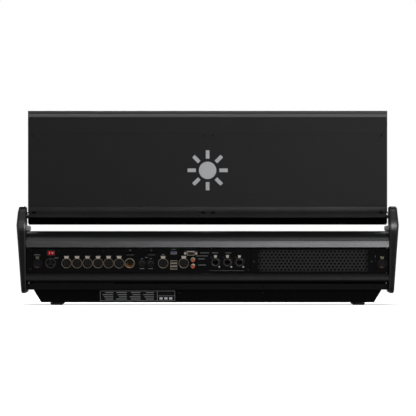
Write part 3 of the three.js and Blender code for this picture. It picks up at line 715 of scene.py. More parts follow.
@dataclass
class RearPanel:
    """The tilted socket panels, the boards behind them and everything set in them.

    A gap is a socket's distance along the panel from the input socket, toward the grille.
    """

    height: float = 57.4
    ring: float = 11.8
    socket_row: float = 22.8
    top_row: float = 47.0
    network_row: float = 25.0
    lamp_row: float = 21.0
    output_pitch: float = 24.06
    outputs: int = 6
    midi_gaps: tuple[float, float] = (28.3, 48.3)
    sync_gap: float = 76.6
    usb_gap: float = 100.8
    audio_gap: float = 123.8
    serial_gap: float = 139.7
    phono_gap: float = 144.5
    board_back: float = -20.5
    board_front: float = -18.5
    place: Matrix = field(init=False)

    def __post_init__(self) -> None:
        """Find the panels' own frame from the switch's and a fan's axes."""
        low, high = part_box("mains_panel")
        up = Vector(joint("power_rock")["axis"])
        out = Vector(joint("fan_left_spin")["axis"])
        foot = (0.0, high.y - self.height * MM * up.y, low.z)
        self.place = local_frame(foot, out, up)
        board_low, board_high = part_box("dmx_board")
        self.input_x = board_low.x / MM + 12.0
        self.first_x = board_high.x / MM - 12.0

    def build(self) -> None:
        """Build every socket, panel, screw and printed line."""
        for node in ("mains_panel", "connector_panel", "lamp_panel"):
            # The panels' blacker coat is partly painted shade.
            dress(node, PANEL_POWDER_PAINTED_SHADE, 0.3)
        self._outputs()
        self._signal_sockets()
        self._network()
        self._mains()
        self._lamps()
        self._grille()
        self._screws_and_print()

    def _board(
        self, work: Workpiece, low: tuple[float, float], high: tuple[float, float]
    ) -> None:
        """Add an upright circuit board behind the panel, between two corners."""
        back, front = self.board_back, self.board_front
        work.block((low[0], back, low[1]), (high[0], front, high[1]), BOARD)

    def _ring(
        self, work: Workpiece, x: float, row: float, metal: Finish, outer: float, bore: float
    ) -> None:
        """Add a socket's flange and the wall of its bore.

        Args:
            work: The piece that takes it.
            x: The socket's place along the panel.
            row: The socket's height up the panel.
            metal: The flange's finish.
            outer: Its outer radius.
            bore: Its inner radius.
        """
        flange = [(outer, 0.2), (outer, 1.0), (outer - 0.4, 1.4)]
        wall = [(bore + 0.4, 1.4), (bore, 1.0), (bore, -9.0)]
        work.turned(flange + wall, x, row, metal, 40)

    def _contacts(
        self, x: float, row: float, radius: float, count: int, start: float
    ) -> list[tuple[float, float]]:
        """Place contacts evenly on part of a circle that is open at the bottom.

        Args:
            x: The socket's place along the panel.
            row: The socket's height up the panel.
            radius: The circle's radius.
            count: How many contacts there are.
            start: The first one's angle, in degrees.

        Returns:
            Each contact's place on the panel.
        """
        step = (360 - 2 * (start + 90)) / (count - 1)
        spots = [spoke(radius, start + i * step) for i in range(count)]
        return [(x + across, row + up) for across, up in spots]

    def _latch(
        self,
        work: Workpiece,
        x: float,
        row: float,
        half: float = 5.6,
        metal: Finish = SATIN_NICKEL,
    ) -> None:
        """Add the push latch above a socket's ring, wider at its top.

        Args:
            work: The piece that takes it.
            x: The socket's place along the panel.
            row: The socket's height up the panel.
            half: Half the width of the latch's top.
            metal: Its finish.
        """
        low, high = row + self.ring - 0.4, row + self.ring + 5.4
        narrow = half * 0.68
        outline = [(x - half, high), (x + half, high), (x + narrow, low), (x - narrow, low)]
        work.prism(outline, -0.5, 2.4, Axis.Y, metal)

    def socket(self, work: Workpiece, kind: SocketKind, x: float, row: float) -> None:
        """Add a round panel socket.

        Args:
            work: The piece that takes it.
            kind: What sits in its ring.
            x: Its place along the panel.
            row: Its height up the panel.
        """
        if kind is SocketKind.FEMALE:
            self._ring(work, x, row, CHAMPAGNE, self.ring, 10.6)
            work.turned([(10.6, -1.2), (10.0, -0.6), (0, -0.6)], x, row, NYLON, 40)
            for cx, cz in self._contacts(x, row, 5.2, 5, -30):
                work.turned([(1.5, -0.6), (1.4, -0.3), (1.0, -0.3)], cx, cz, NYLON, 12)
                work.turned([(1.0, -0.3), (0.6, -0.45)], cx, cz, HOLE, 12)
                work.turned([(0.6, -0.45), (0, -0.45)], cx, cz, BRASS, 12)
            self._latch(work, x, row)
        elif kind is SocketKind.MALE:
            self._ring(work, x, row, CHAMPAGNE, self.ring, 9.6)
            work.turned([(9.6, -8.8), (9.6, -9.0), (0, -9.0)], x, row, NYLON, 40)
            earth = arc(9.3, 200, 340, 10)
            strap = [(x + a, row + b) for a, b in earth]
            strap += [(x + a * 0.72, row + b * 0.72) for a, b in earth[::-1]]
            work.prism(strap, -8.8, -5.0, Axis.Y, BRASS)
            for cx, cz in self._contacts(x, row, 5.2, 5, -30):
                work.turned([(1.1, -9.2), (1.1, -1.6), (0.5, -0.8), (0, -0.8)], cx, cz, BRASS, 12)
        elif kind is SocketKind.NETWORK:
            self._network_socket(work, x, row)
        elif kind is SocketKind.LAMP:
            self._ring(work, x, row, BLACK_OXIDE, 11.2, 8.2)
            work.block((x - 3.4, -0.6, row - 8.1), (x + 3.4, 1.2, row - 6.3), BRASS)
            work.turned([(8.2, -1.6), (7.6, -1.0), (0, -1.0)], x, row, NYLON, 32)
            for cx, cz in self._contacts(x, row, 4.2, 4, -35):
                work.turned([(1.2, -1.0), (1.2, -0.8), (0.7, -0.8)], cx, cz, BLACK_OXIDE, 10)
                work.turned([(0.7, -0.8), (0, -0.9)], cx, cz, HOLE, 10)
        elif kind is SocketKind.MAINS:
            self._ring(work, x, row, ABS, self.ring + 0.6, 9.8)
            work.turned([(9.8, -8.8), (9.6, -9.0), (0, -9.0)], x, row, NYLON, 40)
            work.turned([(5.6, -9.0), (5.6, -0.2), (5.0, 0.4), (0, 0.4)], x, row, NYLON, 32)
            for turn in (90, 210, 330):
                across, up = spoke(7.6, turn)
                work.plate(x + across, row + up, 0.9, 0.9, -9, -1.5, NICKEL)
        else:
            cup = [(8.6, 0.0), (8.6, 0.5), (7.2, 0.6), (7.0, -3.0), (0, -3.0)]
            work.turned(cup, x, row, NYLON, 32)
            for cx, cz in self._contacts(x, row, 4.4, 5, 0):
                work.turned([(0.9, -3.0), (0.9, -2.8), (0, -2.8)], cx, cz, DULL_RIM, 10)

    def _network_socket(self, work: Workpiece, x: float, row: float) -> None:
        """Add a latching network socket: a square jack in a black shell, latch and nuts.

        Args:
            work: The piece that takes it.
            x: Its place along the panel.
            row: Its height up the panel.
        """
        shell = [(self.ring, 0.1), (self.ring, 1.0), (10.8, 1.4), (9.0, 1.4), (8.6, 0.9)]
        work.turned(shell, x, row, NYLON, 40)
        work.turned([(8.7, 0.6), (8.5, 1.5), (7.7, 1.5), (7.5, 0.6)], x, row, DULL_RIM, 40)
        work.walls(x, row, (6.4, 5.25, 0.85), (4.4, 6.8, 0.9), -9, 0.8, NYLON)
        work.plate(x, row, 5.9, 4.4, -9.2, -8.6, HOLE)
        for i in range(8):
            spring = x - 3.6 + i * 1.02
            work.block((spring - 0.25, -8.0, row + 1.6), (spring + 0.25, -2.0, row + 2.1), GOLD)
        self._latch(work, x, row - 0.2, 3.6)
        nut = [(2.3, 0.0), (2.3, 1.5), (1.8, 2.0), (0, 2.0)]
        work.turned(nut, x - 8.8, row - 10.6, SATIN_NICKEL, 6)
        work.turned(nut, x + 9.4, row + 11.2, BLACK_OXIDE, 6)

    def _outputs(self) -> None:
        """Build the lighting data sockets, the video socket over the input, and their board."""
        work = Workpiece("lighting_data_sockets", self.place)
        for i in range(self.outputs):
            x = self.first_x - i * self.output_pitch
            self.socket(work, SocketKind.FEMALE, x, self.socket_row)
        self.socket(work, SocketKind.MALE, self.input_x, self.socket_row)
        self._board(work, (self.input_x - 12, 8), (self.first_x + 12, 52))
        self._video(work, self.input_x - 1.2)
        work.done("desk_base", 0.25, ("dmx_board",))

    def _frame_port(
        self, work: Workpiece, x: float, z: float, half: float, tall: float, metal: Finish
    ) -> None:
        """Add the shell of a rectangular port: four walls with a dark inside.

        Args:
            work: The piece that takes it.
            x: Its place along the panel.
            z: Its height up the panel.
            half: Half its width.
            tall: Half its height.
            metal: The shell's finish.
        """
        wall = 0.25
        level, upright = (half, tall - wall, wall), (tall, half - wall, wall)
        work.walls(x, z, level, upright, -9, 0.7, metal)
        work.plate(x, z, half, tall, -9.4, -8.9, HOLE)

    def _video(self, work: Workpiece, x: float) -> None:
        """Add a locking video port, with its lock screw above.

        Args:
            work: The piece that takes it.
            x: Its place along the panel.
        """
        z = self.top_row
        self._frame_port(work, x, z, 9.6, 3.8, BLACK_OXIDE)
        work.plate(x, z, 7.0, 0.7, -8.6, -1.2, NYLON)
        work.block((x - 8.6, 0.1, z - 5.0), (x + 8.6, 1.3, z - 3.9), DULL_RIM)
        work.turned([(1.9, 0), (1.9, 1.2), (1.4, 1.6), (0, 1.6)], x, z + 6.2, DULL_RIM, 16)

    def _signal_sockets(self) -> None:
        """Build the sockets on the main board's riser, and the board itself."""
        work = Workpiece("signal_sockets", self.place)
        midi = [self.input_x - gap for gap in self.midi_gaps]
        self._video(work, midi[1] - 1.4)
        for x in midi:
            self.socket(work, SocketKind.DIN, x, self.socket_row)
        for gap in (self.sync_gap, self.audio_gap):
            self.socket(work, SocketKind.FEMALE, self.input_x - gap, self.socket_row)
        usb = self.input_x - self.usb_gap
        self._frame_port(work, usb, self.top_row, 6.6, 2.9, SATIN_NICKEL)
        work.plate(usb, self.top_row + 0.9, 5.4, 1.0, -8, 0.3, BLUE_TONGUE)
        for i in range(3):
            z = 18.5 + (i - 1) * 7.2
            self._frame_port(work, usb, z, 7.6, 3.3, SATIN_NICKEL)
            work.block((usb - 5.6, -8, z + 0.2), (usb + 5.6, 0.2, z + 1.6), NYLON)
        self._serial_port(work, self.input_x - self.serial_gap)
        for row in (31.3, 16.4):
            x = self.input_x - self.phono_gap
            flange = [(5.3, 0), (5.3, 1.2), (4.4, 1.6), (4.1, 1.6)]
            barrel = [(4.1, 8.6), (3.8, 9.0), (3.2, 9.0)]
            work.turned(flange + barrel, x, row, CHAMPAGNE, 24)
            insulator = [(3.2, 8.8), (1.4, 8.8), (1.2, 4.0), (0, 4.0)]
            work.turned(insulator, x, row, ORANGE_RING, 24)
        self._board(work, (26, 1), (self.input_x - 17.3, 54))
        self._main_board(work)
        work.done("desk_base", 0.2, ("main_board",))

    def _main_board(self, work: Workpiece) -> None:
        """Add the flat board in the base, with its heat sink, memory and edge connector.

        Args:
            work: The piece that takes it.
        """
        low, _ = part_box("main_board")
        left, front, under, top = low.x / MM, low.y / MM, 52, 54
        self._level_block(work, (left, front, under), (170, front + 188, top), BOARD)
        self._level_block(work, (30, front + 170, top), (160, front + 189, 84), NYLON)
        for i in range(12):
            y = front + 62 + i * 5.8
            self._level_block(work, (-10, y, top), (60, y + 2.4, 78), ANODISED)
        for y in (front + 40, front + 46):
            self._level_block(work, (90, y, top), (150, y + 2, 76), BOARD)

    def _level_block(self, work: Workpiece, low: Point, high: Point, finish: Finish) -> None:
        """Add a block that stands square to the table, behind the tilted panel.

        Args:
            work: The piece that takes it.
            low: Its lowest corner in the desk's own frame.
            high: Its highest corner.
            finish: Its finish.
        """
        to_panel = self.place.inverted()
        desk_middle = Vector([(a + b) / 2 for a, b in zip(low, high)]) * MM
        middle = to_panel @ desk_middle / MM
        size = Vector([b - a for a, b in zip(low, high)]) / 2
        level = to_panel.to_3x3().to_4x4()
        work.block(tuple(middle - size), tuple(middle + size), finish, level)

    def _serial_port(self, work: Workpiece, x: float) -> None:
        """Add the D-shaped port: flange, raised shell, black insert and two hexagon posts.

        Args:
            work: The piece that takes it.
            x: Its place along the panel.
        """
        z = self.top_row
        work.plate(x, z, 15.5, 6.2, 0.1, 1.1, BLACK_OXIDE)
        shell = [(x - 9.0, z + 5.0), (x + 9.0, z + 5.0), (x + 7.6, z - 4.4), (x - 7.6, z - 4.4)]
        work.prism(shell, 1.0, 5.3, Axis.Y, SATIN_NICKEL)
        inner = [(x - 7.8, z + 3.4), (x + 7.8, z + 3.4), (x + 6.8, z - 3.7), (x - 6.8, z - 3.7)]
        work.prism(inner, 5.2, 5.5, Axis.Y, NYLON)
        for row, count in ((1.5, 5), (-1.5, 4)):
            for i in range(count):
                px = x + (i - (count - 1) / 2) * 2.7
                work.turned([(0.6, 5.45), (0.6, 5.65), (0, 5.65)], px, z + row, BRASS, 8)
        for side in (-1, 1):
            post = [(3.0, 1.0), (3.0, 5.0), (2.4, 5.4), (1.4, 5.4), (1.4, 2), (0, 2)]
            work.turned(post, x + side * 12.5, z, SATIN_NICKEL, 6)

    def _network(self) -> None:
        """Build the three network sockets and their board."""
        low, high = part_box("network_board")
        work = Workpiece("network_sockets", self.place)
        margin = 14
        first, last = high.x / MM - margin, low.x / MM + margin
        for x in (first, (low.x + high.x) / 2 / MM, last):
            self.socket(work, SocketKind.NETWORK, x, self.network_row)
        self._board(work, (last - margin, 8), (first + margin, 44))
        work.done("desk_base", 0.25, ("network_board",))

    def _mains(self) -> None:
        """Build the mains inlet, and the rocker with its frame."""
        inlet = Workpiece("mains_inlet_socket", self.place)
        x = centre_mm("mains_inlet").x
        self.socket(inlet, SocketKind.MAINS, x, self.socket_row)
        inlet.plate(x, self.socket_row, 9, 9, -26, -9.5, NYLON)
        inlet.done("desk_base", 0.3, ("mains_inlet",))
        pivot = local_mm(self.place, joint("power_rock")["pos_m"])
        bezel = Workpiece("switch_bezel", self.place)
        bezel.walls(pivot.x, self.top_row, (9.6, 5.8, 0.7), (5.1, 9.0, 0.6), -0.2, 0.9, ABS)
        bezel.done("desk_base", 0.3)
        tip = Matrix.Rotation(math.radians(7), 4, "Z")
        seat = self.place @ Matrix.Translation(pivot * MM) @ tip
        rocker = Workpiece("red_rocker", seat)
        top = [(-7.4, -6), (-7.4, 4.0), (-6.6, 4.3), (0, 2.9), (6.6, 4.3), (7.4, 4.0), (7.4, -6)]
        rocker.prism(top, -4.3, 4.3, Axis.Z, RED_ROCKER)
        lean = Matrix.Rotation(math.atan2(1.4, 6.6), 4, "Z")
        rocker.block((3.2, 3.45, -2.2), (4.0, 3.75, 2.2), WHITE_MARK, lean)
        ring = [(1.9, 0.0), (1.9, 0.2), (1.2, 0.2), (1.2, 0.0)]
        rocker.lathe(ring, (-3.6, 3.62, 0), Axis.Y, WHITE_MARK, 16, turn=lean.inverted())
        rocker.done("power_switch_body", 0.4, ("power_switch",))

    def _lamps(self) -> None:
        """Build the two desk lamp sockets with their latches."""
        for side in ("left", "right"):
            node = f"lamp_socket_{side}"
            work = Workpiece(f"desk_lamp_socket_{side}", self.place)
            x = centre_mm(node).x
            self.socket(work, SocketKind.LAMP, x, self.lamp_row)
            work.plate(x, self.lamp_row, 8, 8, -22, -3, NYLON)
            self._latch(work, x, self.lamp_row + 0.8, 4.6, CHAMPAGNE)
            work.done("desk_base", 0.3, (node,))

    def _grille(self) -> None:
        """Build the perforated fan grille, in staggered rows, with the filter and fans behind."""
        low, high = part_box("fan_grille")
        x0, x1 = low.x / MM, high.x / MM
        pitch, row_pitch, radius, rows, columns = 8.75, 7.1, 3.0, 7, 28
        field_x0 = (x0 + x1) / 2 - columns * pitch / 2
        field_z0 = 3.6
        work = Workpiece("perforated_fan_grille", self.place)
        for j in range(rows):
            z = field_z0 + (j + 0.5) * row_pitch
            shift = pitch / 4 * (1 if j % 2 else -1)
            for i in range(columns):
                x = field_x0 + (i + 0.5) * pitch + shift
                self._pierced_cell(work, x, z, pitch, row_pitch, radius)
            left, right = field_x0 + shift, field_x0 + columns * pitch + shift
            z0, z1 = z - row_pitch / 2, z + row_pitch / 2
            work.block((x0, -2, z0), (left, 0, z1), PANEL_POWDER_PAINTED_SHADE)
            work.block((right, -2, z0), (x1, 0, z1), PANEL_POWDER_PAINTED_SHADE)
        top = field_z0 + rows * row_pitch
        work.block((x0, -2, 0), (x1, 0, field_z0), PANEL_POWDER_PAINTED_SHADE)
        work.block((x0, -2, top), (x1, 0, self.height), PANEL_POWDER_PAINTED_SHADE)
        for x in (x0 + 8, x1 - 7):
            work.screw((x, 0, 25.5), Axis.Y, BLACK_OXIDE, 3.4)
        work.done("desk_base", 0.0, ("fan_grille",))
        dress("fan_bracket", NYLON, 0.4)
        pad = Workpiece("fan_filter_pad", self.place)
        pad.block((x0 + 9, -4.7, 3.6), (x1 - 8, -2.3, self.height - 3.6), FOAM)
        pad.done("desk_base", 0.6)
        for side in ("left", "right"):
            dress(f"fan_rotor_{side}", NYLON, 0.2)

    def _pierced_cell(
        self, work: Workpiece, x: float, z: float, wide: float, tall: float, radius: float
    ) -> None:
        """Add one cell of sheet with a round hole, front, back and wall.

        Args:
            work: The grille.
            x: The hole's place along the panel.
            z: Its height up the panel.
            wide: The cell's width.
            tall: The cell's height.
            radius: The hole's radius.
        """
        hole = arc(radius, 45, 405, 12)[:-1]
        a, b = wide / 2, tall / 2
        corners = [(a, b), (-a, b), (-a, -b), (a, -b)]
        faces = []
        rims = []
        for y in (0.0, -2.0):
            rim = [work.mesh.verts.new((x + a, y, z + b)) for a, b in hole]
            out = [work.mesh.verts.new((x + a, y, z + b)) for a, b in corners]
            rims.append(rim)
            for side in range(4):
                three = [rim[(side * 3 + k) % 12] for k in range(4)]
                faces.append(work.mesh.faces.new([*three, out[(side + 1) % 4], out[side]]))
        front, back = rims
        for k in range(12):
            n = (k + 1) % 12
            faces.append(work.mesh.faces.new((front[k], front[n], back[n], back[k])))
        work.paint(faces, GRILLE_PAINT)

    def _screws_and_print(self) -> None:
        """Add the panels' screws and the printed bars that stand for their captions."""
        work = Workpiece("panel_screws_and_print", self.place)
        mains_low, mains_high = (corner.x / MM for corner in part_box("mains_panel"))
        panel_low, panel_high = (corner.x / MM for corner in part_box("connector_panel"))
        beside = self.input_x - 165.5  # middle of the print by the serial port and phono sockets
        network = centre_mm("network_board").x
        spots = [(x, z) for z in (51.3, 8) for x in (mains_high - 7.5, mains_low + 4)]
        spots += [(panel_low + 5, 51.3), (panel_low + 5, 6)]
        spots += [(panel_high - 96, 51.3), (panel_high - 196, 52)]
        for x, z in spots:
            work.screw((x, 0, z), Axis.Y, BLACK_OXIDE, 2.4)
        bars = [(self.first_x + 23.5, 35.2, 9), (centre_mm("lamp_socket_right").x, 42.6, 15)]
        for gap in self.midi_gaps:
            bars += [(self.input_x - gap, 10.2, 10), (self.input_x - gap, 33.6, 4)]
        bars += [(self.input_x - sum(self.midi_gaps) / 2, 36.4, 6)]
        bars += [(self.input_x - self.sync_gap, 43.4, 6), (self.input_x - self.usb_gap, 55.2, 10)]
        bars += [(beside - 6, 47.2, 20), (beside, 40.0, 27)]
        bars += [(beside + 1, 33.0, 15), (beside, 18.6, 18)]
        bars += [(network - 2, 47.2, 14), (network + 28, 47.2, 14)]
        work.block((network - 37, 0.0, 5.2), (network + 41, 0.12, 5.6), DIM_INK)
        for x, z, wide in bars:
            work.plate(x, z, wide / 2, 0.55, 0.0, 0.12, DIM_INK)
        work.done("desk_base")


@dataclass
class Base:
    """Cheeks, tray, pan, profiles and feet, with the label plate and buffers.

    Below its knee a cheek draws in toward its foot, and above it toward its crown.
    """

    label_half: float = 85.5
    label_low: float = 9.6
    label_high: float = 32.2
    cheek_knee: float = 183.0
    foot_draw: float = 12.5
    crown_draw: float = 4.5
    cheek_top: float = 226.0
    pan_screws: tuple[float, ...] = (190, -127, -204, -380)
    tray_screws: tuple[float, ...] = (65, -127)
    pan_screw_row: float = 43
    tray_screw_row: float = 28
    buffer_y: float = 270
    buffer_rise: float = 6.4
    cheek_screws: tuple[tuple[float, float], ...] = (
        (-270, 62),
        (-90, 62),
        (120, 62),
        (250, 62),
        (250, 205),
        (80, 206),
    )

    def build(self) -> None:
        """Dress the frame's sheet and castings, and add their small fittings."""
        for side in ("left", "right"):
            dress(f"{side}_cheek", CHEEK_PAINT)
            for end in ("front", "rear"):
                dress(f"foot_{end}_{side}", RUBBER, 0.6)
        # The tray's near-black coat is partly painted shade under the deck.
        dress("bottom_tray", ELECTROCOAT_AND_PAINTED_SHADE, 0.8)
        dress("base_pan", PANEL_POWDER_PAINTED_SHADE, 0.6)
        dress("rear_upper_profile", ANODISED, 0.4)
        dress("rear_lower_profile", POWDER, 0.4)
        dress("power_supply", STEEL, 1.5)
        self._label_plate()
        self._buffers()
        self._screws()

    def _label_plate(self) -> None:
        """Print a blank rating plate: a border and bars where words would be."""
        _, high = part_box("bottom_tray")
        y = high.y / MM
        work = Workpiece("blank_label_plate")
        x0 = centre_mm("main_board").x + 20
        x1 = x0 + 2 * self.label_half
        z0, z1 = self.label_low, self.label_high
        work.block((x0, y, z0), (x1, y + 0.15, z1), PANEL_POWDER_PAINTED_SHADE)
        line, column, row = 0.35, x0 + 40, 20.8
        for low, high_corner in (
            ((x0, z0), (x1, z0 + line)),
            ((x0, z1 - line), (x1, z1)),
            ((x0, z0), (x0 + line, z1)),
            ((x1 - line, z0), (x1, z1)),
            ((column, z0), (column + line, z1)),
            ((x0, row), (column, row + line)),
        ):
            work.block((low[0], y, low[1]), (high_corner[0], y + 0.3, high_corner[1]), INK)
        for i in range(4):
            for j in range(4):
                bar = x0 + 48 + i * 31
                z = z0 + 3.4 + j * 4.9
                work.block((bar, y, z), (bar + 18 + 3 * ((i + j) % 3), y + 0.3, z + 1.5), DIM_INK)
        for i in range(3):
            bar = x0 + 6 + i * 11
            work.block((bar, y, z0 + 3), (bar + 7, y + 0.3, z0 + 8), INK)
        work.done("desk_base")

    def _buffers(self) -> None:
        """Add the grey rubber buffers inside the cheeks, which the folded wing lies on."""
        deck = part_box("control_panel")[1].z / MM
        for side, sign in (("left", -1), ("right", 1)):
            inner = min(abs(corner.x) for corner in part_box(f"{side}_cheek")) / MM
            work = Workpiece(f"wing_buffer_{side}")
            profile = [(0, 0), (6.2, 0), (6.2, 6.0), (5.7, 8.8), (4.2, 10.6), (0, 11)]
            turned = [(r, -sign * h) for r, h in profile]
            at = (sign * inner, self.buffer_y, deck + self.buffer_rise)
            work.lathe(turned, at, Axis.X, BUFFER_RUBBER, 28)
            work.done("desk_base", 0.2)

    def _screws(self) -> None:
        """Add the screws of the pan, the tray and the cheeks."""
        pan_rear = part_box("base_pan")[1].y / MM
        tray_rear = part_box("bottom_tray")[1].y / MM
        work = Workpiece("base_screws")
        for x in self.pan_screws:
            work.screw((x, pan_rear, self.pan_screw_row), Axis.Y, BLACK_OXIDE, 2.6)
        for x in self.tray_screws:
            work.screw((x, tray_rear, self.tray_screw_row), Axis.Y, BLACK_OXIDE, 2.6)
        for sign in (-1, 1):
            outer = abs(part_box("right_cheek")[1].x) / MM
            for y, z in self.cheek_screws:
                seat = outer - self._drawn_in(z) - 1.0
                work.screw((sign * seat, y, z), Axis.X, BLACK_OXIDE, 4.0, sign)
        work.done("desk_base")

    def _drawn_in(self, z: float) -> float:
        """Find how far a cheek's outside has drawn in.

        Args:
            z: A height on it.

        Returns:
            The distance in from its widest line.
        """
        if z < self.cheek_knee:
            return self.foot_draw * (self.cheek_knee - z) / self.cheek_knee
        return self.crown_draw * (z - self.cheek_knee) / (self.cheek_top - self.cheek_knee)


@dataclass
class MonitorWing:
    """The tilting wing: rear cover, hinge beam, front bezel and two touch screens.

    Its local frame stands on the hinge line, with Y out of the cover and Z up the wing.
    """

    lean: float = 3.0
    back: float = 24.0
    half: float = 411.0
    top: float = 232.0
    symbol_height: float = 104.0
    border: float = 20.0
    display_rows: tuple[float, float] = (15.0, 221.0)
    display_faces: tuple[float, float] = (-19.46, -19.3)
    screw_columns: tuple[float, ...] = (-399, -12, 10, 399)
    module_screw_row: float = 184
    beam_screw_row: float = 5.6
    beam_proud: float = 2.6
    place: Matrix = field(init=False)

    def __post_init__(self) -> None:
        """Find the wing's own frame on its hinge line."""
        turn = Matrix.Rotation(math.radians(-self.lean), 4, "X")
        self.place = Matrix.Translation(Vector(joint("wing_tilt")["pos_m"])) @ turn

    def build(self) -> None:
        """Dress the wing's parts and add its screws, print and screen layers."""
        dress("wing_rear_cover", POWDER, 0.6)
        dress("hinge_beam", BLASTED_ANODISED, 0.5)
        dress("wing_front_bezel", ABS, 0.8)
        for side in ("left", "right"):
            dress(f"hinge_pin_{side}", BRIGHT_PIN, 0.5)
            dress(f"screen_{side}", SCREEN_GLASS, 0.3)
            self._display(side)
        self._sun_symbol()
        self._painted_highlight_strip()
        self._fittings()

    def _display(self, side: str) -> None:
        """Lay the display layer on a screen's glass, inside its black border.

        Args:
            side: The screen's side.
        """
        low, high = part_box(f"screen_{side}")
        x0, x1 = low.x / MM + self.border, high.x / MM - self.border
        (z0, z1), (front, back) = self.display_rows, self.display_faces
        work = Workpiece(f"display_{side}", self.place)
        work.block((x0, front, z0), (x1, back, z1), DISPLAY)
        work.done("monitor_wing")

    def _sun_symbol(self) -> None:
        """Print a plain brightness symbol, a disc with eight rays, in the middle of the cover."""
        work = Workpiece("printed_sun_symbol", self.place)
        centre = (0.0, self.back, self.symbol_height)
        work.lathe([(20, -0.1), (20, 0.12), (0, 0.12)], centre, Axis.Y, INK, 64)
        for i in range(8):
            turn = Matrix.Rotation(i * math.pi / 4, 4, "Y")
            middle = Vector(centre) + turn.to_3x3() @ Vector((0, 0, 36.5))
            size = Vector((4.2, 0.12, 9.5))
            work.block(tuple(middle - size), tuple(middle + size), INK, turn)
        work.done("monitor_wing")

    def _painted_highlight_strip(self) -> None:
        """Lay a pale metal skin on the sloping strip along the cover's top edge: a painted
        highlight.
        """
        low, high = self.top - 5.5, self.top
        outer, inner = self.back - 1.4, self.back - 3.4
        skin = 0.2
        outline = [(outer, low), (outer + skin, low), (inner + skin, high), (inner, high)]
        work = Workpiece("painted_highlight_top_strip", self.place)
        # The pale skin is a painted highlight where the top edge catches light.
        work.prism(outline, -self.half, self.half, Axis.X, PAINTED_HIGHLIGHT_METAL)
        work.done("monitor_wing")

    def _fittings(self) -> None:
        """Add the module screws, the beam's screws and the side buffers."""
        work = Workpiece("wing_fittings", self.place)
        beam = self.back + self.beam_proud
        for x in self.screw_columns:
            work.screw((x, self.back, self.module_screw_row), Axis.Y, BLACK_OXIDE, 2.4)
            work.screw((x, beam, self.beam_screw_row), Axis.Y, ELECTROCOAT_AND_PAINTED_SHADE, 4.4)
        for sign in (-1, 1):
            bump = [(4, 0), (4, sign * 1.2), (2.6, sign * 1.9), (0, sign * 1.9)]
            work.lathe(bump, (sign * self.half, 10, 212), Axis.X, RUBBER, 20)
        work.done("monitor_wing")


@dataclass(frozen=True)
class KeyBlock:
    """A block of keys in one window of the panel, counted from its lower left corner."""

    corner: tuple[float, float]
    columns: int
    rows: int
    pitch: tuple[float, float]
    key: tuple[float, float]
    figures: tuple[str, ...] = ()

    def middle(self, i: int, j: int) -> tuple[float, float]:
        """Place the middle of the key in a column and a row."""
        (x, v), (across, up) = self.corner, self.pitch
        return x + across * (i + 0.5), v + up * (j + 0.5)


